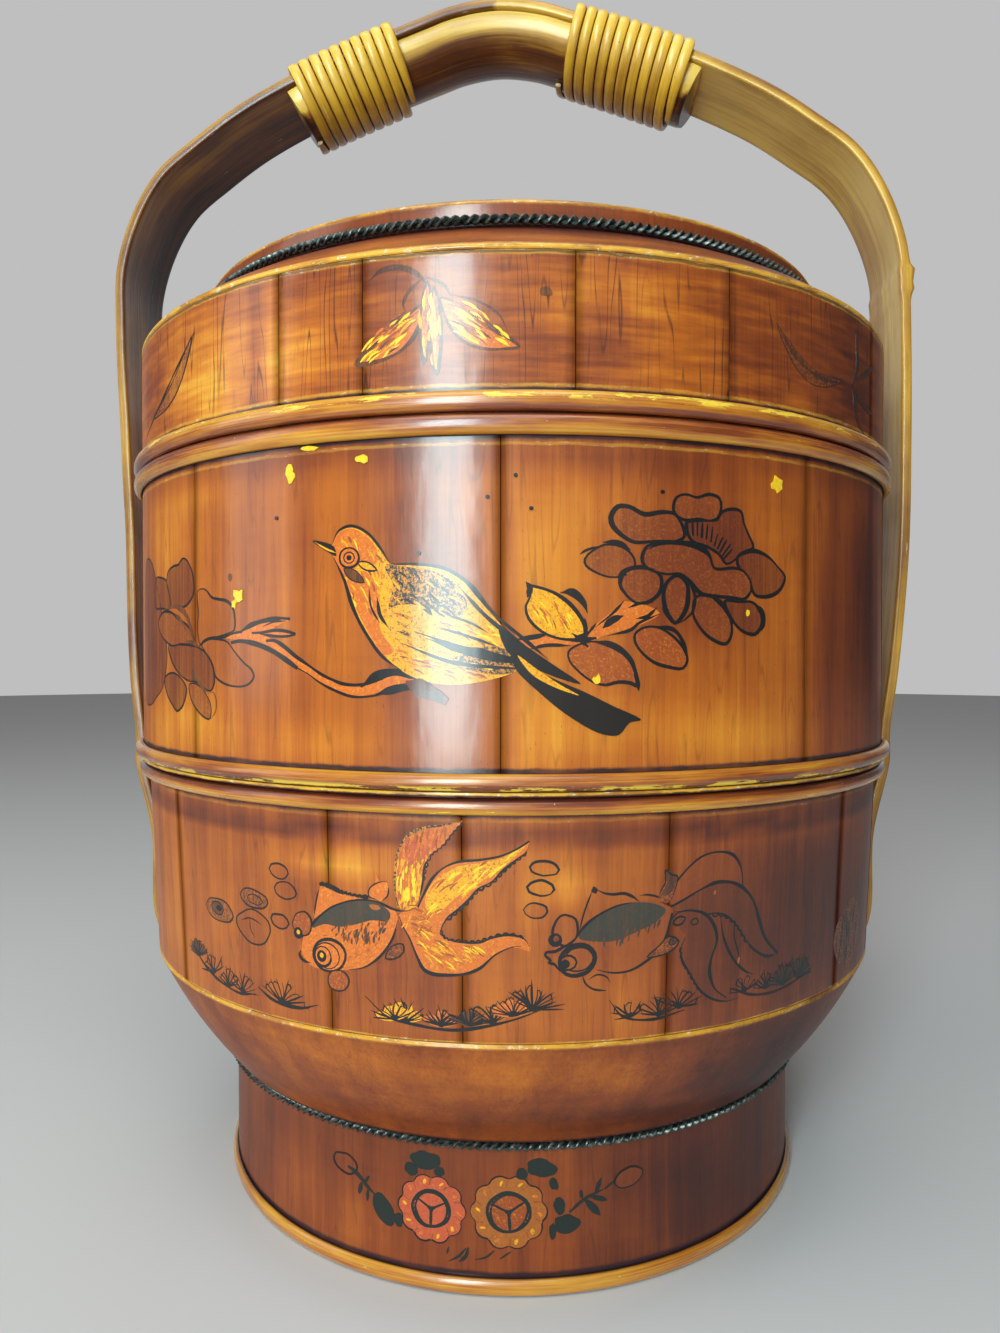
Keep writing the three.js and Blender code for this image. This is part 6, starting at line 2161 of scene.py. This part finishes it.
mouth_foot = HOOPS["upper_mouth_hoop"][2]
lower_hoop_foot = HOOPS["lower_hoop"][2]
lid_hoop_top = HOOPS["lid_hoop"][3]
wall_lacquer = {
    "upper": dict(
        dirt_and_shade=((HOOPS["upper_base_hoop"][3] + 0.3 * MM, 1.3 * MM, 0.95), (mouth_foot, 1.3 * MM, 0.95)),
        gold=((mouth_foot - 1.9 * MM, 0.6 * MM, 0.35),),
    ),
    "lower": dict(
        dirt_and_shade=((lower_hoop_foot, 1.1 * MM, 0.9),), streak=0.5,
        gold=((LOWER_BASE, 0.6 * MM, 0.6), (lower_hoop_foot - 1.5 * MM, 0.6 * MM, 0.16)), coat=0.6,
    ),
    "bevel": dict(
        dirt_and_shade=((BEVEL_BASE, 1.2 * MM, 0.9),), gold=((ARRIS, 1.7 * MM, 0.8),),
        streak=0.36, curl=0.2, coat=0.25,
    ),
    "foot": dict(
        dirt_and_shade=((HOOPS["foot_hoop"][3] + 0.4 * MM, 1.7 * MM, 0.95), (FOOT_TOP, 2.6 * MM, 0.7)),
        streak=0.34, coat=0.3,
    ),
    "lid": dict(
        dirt_and_shade=((lid_hoop_top, 1.3 * MM, 0.95), (LID_ARRIS - 0.4 * MM, 0.6 * MM, 0.8)),
        gold=((lid_hoop_top + 1.3 * MM, 0.7 * MM, 0.5), (LID_ARRIS, 1.5 * MM, 0.9)),
        streak=0.12, curl=0.62, hair=0.75, fibre=0.14,
    ),
}
plain = {
    wall: lacquer(f"{wall}_lacquer", jointed=wall in STAVES, **lines)
    for wall, lines in wall_lacquer.items()
}
painted = {
    wall: lacquer(f"{wall}_painting", painted=True, **wall_lacquer[wall])
    for wall in ("upper", "lower", "foot", "lid")
}
shoulder_lacquer = lacquer(
    "shoulder_lacquer", gold=((SHOULDER_BASE, 2.6 * MM, 1.0),), streak=0.1, curl=0.4,
    dirt_and_shade=((SHOULDER_TOP, 3.2 * MM, 0.85), (SHOULDER_TOP - 3.2 * MM, 0.8 * MM, 0.5)),
)
collar_lacquer = lacquer(
    "collar_lacquer", gold=((COLLAR_TOP, 2.0 * MM, 0.9),), dirt_and_shade=((COLLAR_BASE, 1.6 * MM, 0.8),),
    streak=0.1, curl=0.3,
)
rim_lacquer = lacquer(
    "rim_lacquer", gold=((LOWER_TOP - 0.2 * MM, 0.9 * MM, 1.0),),
    dirt_and_shade=((LOWER_TOP - 1.2 * MM, 0.7 * MM, 0.9),), streak=0.1,
)
board_lacquer = lacquer("board_lacquer", gloss=0.42, streak=0.1)
hoop_materials = {
    "lid_hoop": gilt("lid_hoop_gilt", 0.58, 0.26, 0.56, 1),
    "upper_mouth_hoop": gilt("mouth_hoop_gilt", 0.50, -0.22, 0.68, 1),
    "upper_base_hoop": gilt("base_hoop_gilt", 0.46, 0.26, 0.50, -1, 0.2),
    "lower_hoop": gilt("lower_hoop_gilt", 0.54, -0.34, 0.60, -1, 0.1),
    "foot_hoop": gilt("foot_hoop_gilt", 0.64, 0.04, 0.66, 1),
}
wire_material = wire("twisted_wire")
wood_material = bare_wood("stained_wood")
glue = dark_glue("seam_glue")
slat_material = bamboo("slat_bamboo", (0.50, 0.25, 0.022), (0.15, 0.045, 0.010))
pad_material = bamboo("pad_bamboo", (0.52, 0.27, 0.025), (0.13, 0.040, 0.010))
cane_material = bamboo("lashing_cane", (0.72, 0.40, 0.030), (0.30, 0.12, 0.012))

bevel_and_foot(plain["bevel"], plain["foot"])
lower_wall(plain["lower"])
upper_wall(plain["upper"])
lid_wall(plain["lid"])
seam_bed("glue_in_lower_wall", ARRIS_RADIUS, LOWER_BASE, LOWER_TOP, "base", glue)
seam_bed("glue_in_upper_wall", BODY_RADIUS, UPPER_BASE, UPPER_TOP, "upper_tier", glue)
seam_bed("glue_in_lid_wall", BODY_RADIUS, LID_BASE, LID_ARRIS, "lid", glue)
lid_top(shoulder_lacquer, collar_lacquer, board_lacquer)
for node, name, body in (
    ("foot_hoop", "hoop_at_foot", "base"), ("lower_hoop", "hoop_at_lower_rim", "base"),
    ("upper_base_hoop", "hoop_at_upper_base", "upper_tier"),
    ("upper_mouth_hoop", "hoop_at_upper_mouth", "upper_tier"), ("lid_hoop", "hoop_at_lid_rim", "lid"),
):
    hoop(name, node, hoop_materials[node], body)
plain_band("rim_strip", "rim_band", rim_lacquer, "base", STRIP_ROUND)
plain_band("lower_lip_ring", "lower_lip", wood_material, "base", BOARD_ROUND)
plain_band("upper_lip_ring", "upper_lip", wood_material, "upper_tier", BOARD_ROUND)
disc("lower_floor_board", "lower_floor", "base", wood_material, FLOOR_ROUND)
disc("upper_floor_board", "upper_floor", "upper_tier", wood_material, FLOOR_ROUND)
twisted_wire("waist_twist", "waist_wire", wire_material, "base")
twisted_wire("lid_twist", "lid_wire", wire_material, "lid")
handle_line = HandleLine()
slat(handle_line, slat_material)
grip_pad(handle_line, pad_material)
lashing("lashing_at_left", "lashing_left", handle_line, -1, cane_material)
lashing("lashing_at_right", "lashing_right", handle_line, 1, cane_material)
for i in range(1, 5):
    peg(f"peg_{i}", f"handle_peg_{i}", wood_material)
upper_painting(painted["upper"])
lower_painting(painted["lower"])
foot_painting(painted["foot"])
lid_painting(painted["lid"])


# Camera, lights and floor

def add_camera():
    """The photograph's camera. The lens spans the frame's longer side."""
    data = bpy.data.cameras.new("camera")
    data.sensor_width = SENSOR
    data.lens = SENSOR * FOCAL_PIXELS / FRAME_HEIGHT_PIXELS
    data.clip_start = 0.01
    data.clip_end = 50
    camera = add_object("camera", data)
    camera.location = at_bearing(CAMERA_DISTANCE, 0, CAMERA_HEIGHT)
    camera.rotation_euler = camera_turn()
    bpy.context.scene.camera = camera


def area_light(name, bearing, level, away, size, power, color, aim):
    """A soft panel of size (width, height) that faces the axis at the level aim."""
    data = bpy.data.lights.new(name, "AREA")
    data.shape = "RECTANGLE"
    data.size, data.size_y = size
    data.energy = power
    data.color = color
    light = add_object(name, data)
    light.location = at_bearing(away, math.radians(bearing), level)
    direction = Vector((0, 0, aim)) - light.location
    light.rotation_euler = direction.to_track_quat("-Z", "Y").to_euler()


FLOOR_RADIUS = 4
FLOOR_GREY = 0.62


def add_floor():
    """Pale paper under the basket, which isn't a part of it."""
    bpy.ops.mesh.primitive_circle_add(vertices=96, radius=FLOOR_RADIUS, fill_type="NGON")
    floor = bpy.context.object
    floor.name = "floor"
    paper = bpy.data.materials.new("floor_paper")
    Graph(paper).set(Base_Color=(FLOOR_GREY, FLOOR_GREY, FLOOR_GREY, 1), Roughness=0.9)
    floor.data.materials.append(paper)


WORLD_LIGHT = 0.30  # what lights the object
WORLD_SEEN = 0.52  # what the camera and the gloss see
WORLD_SIDES = (0.45, 0.16)  # shares of the light and of the gloss that come from -X and from +X
SIDE_EDGE = (0.42, 0.72)  # how far aside a direction turns where a side begins and is whole


def add_world():
    """A pale room with darker sides, which the camera doesn't see."""
    world = bpy.data.worlds.new("studio")
    bpy.context.scene.world = world
    g = Graph(world, "Background")
    path = g.node("ShaderNodeLightPath", {}).outputs
    mirrored = g.maths("MAXIMUM", path["Is Glossy Ray"], path["Is Transmission Ray"])
    seen = g.maths("MAXIMUM", path["Is Camera Ray"], mirrored)
    strength = g.plus(WORLD_LIGHT, g.times(seen, WORLD_SEEN - WORLD_LIGHT))
    direction = g.node("ShaderNodeTexCoord", {}).outputs["Generated"]
    aside = g.node("ShaderNodeSeparateXYZ", {0: direction}).outputs[0]
    for edge, share in zip((-1, 1), WORLD_SIDES):
        side = g.between(aside, SIDE_EDGE[0] * edge, SIDE_EDGE[1] * edge, 1, share)
        strength = g.times(strength, g.maths("MAXIMUM", side, path["Is Camera Ray"]))
    g.set(Strength=strength, Color=(1, 1, 1, 1))


add_camera()
area_light(
    "window", bearing=-16, level=0.50, away=1.1, size=(0.24, 0.94), power=14,
    color=(0.78, 0.97, 1.0), aim=0.50,
)
area_light(
    "left_window", bearing=-72, level=0.62, away=1.3, size=(0.55, 1.1), power=3.6,
    color=(1.0, 0.96, 0.92), aim=0.2,
)
area_light(
    "overhead", bearing=-12, level=1.5, away=0.6, size=(1.0, 0.8), power=8,
    color=(1.0, 0.98, 0.94), aim=0.2,
)
add_floor()
add_world()
bpy.context.scene.view_settings.view_transform = "Standard"
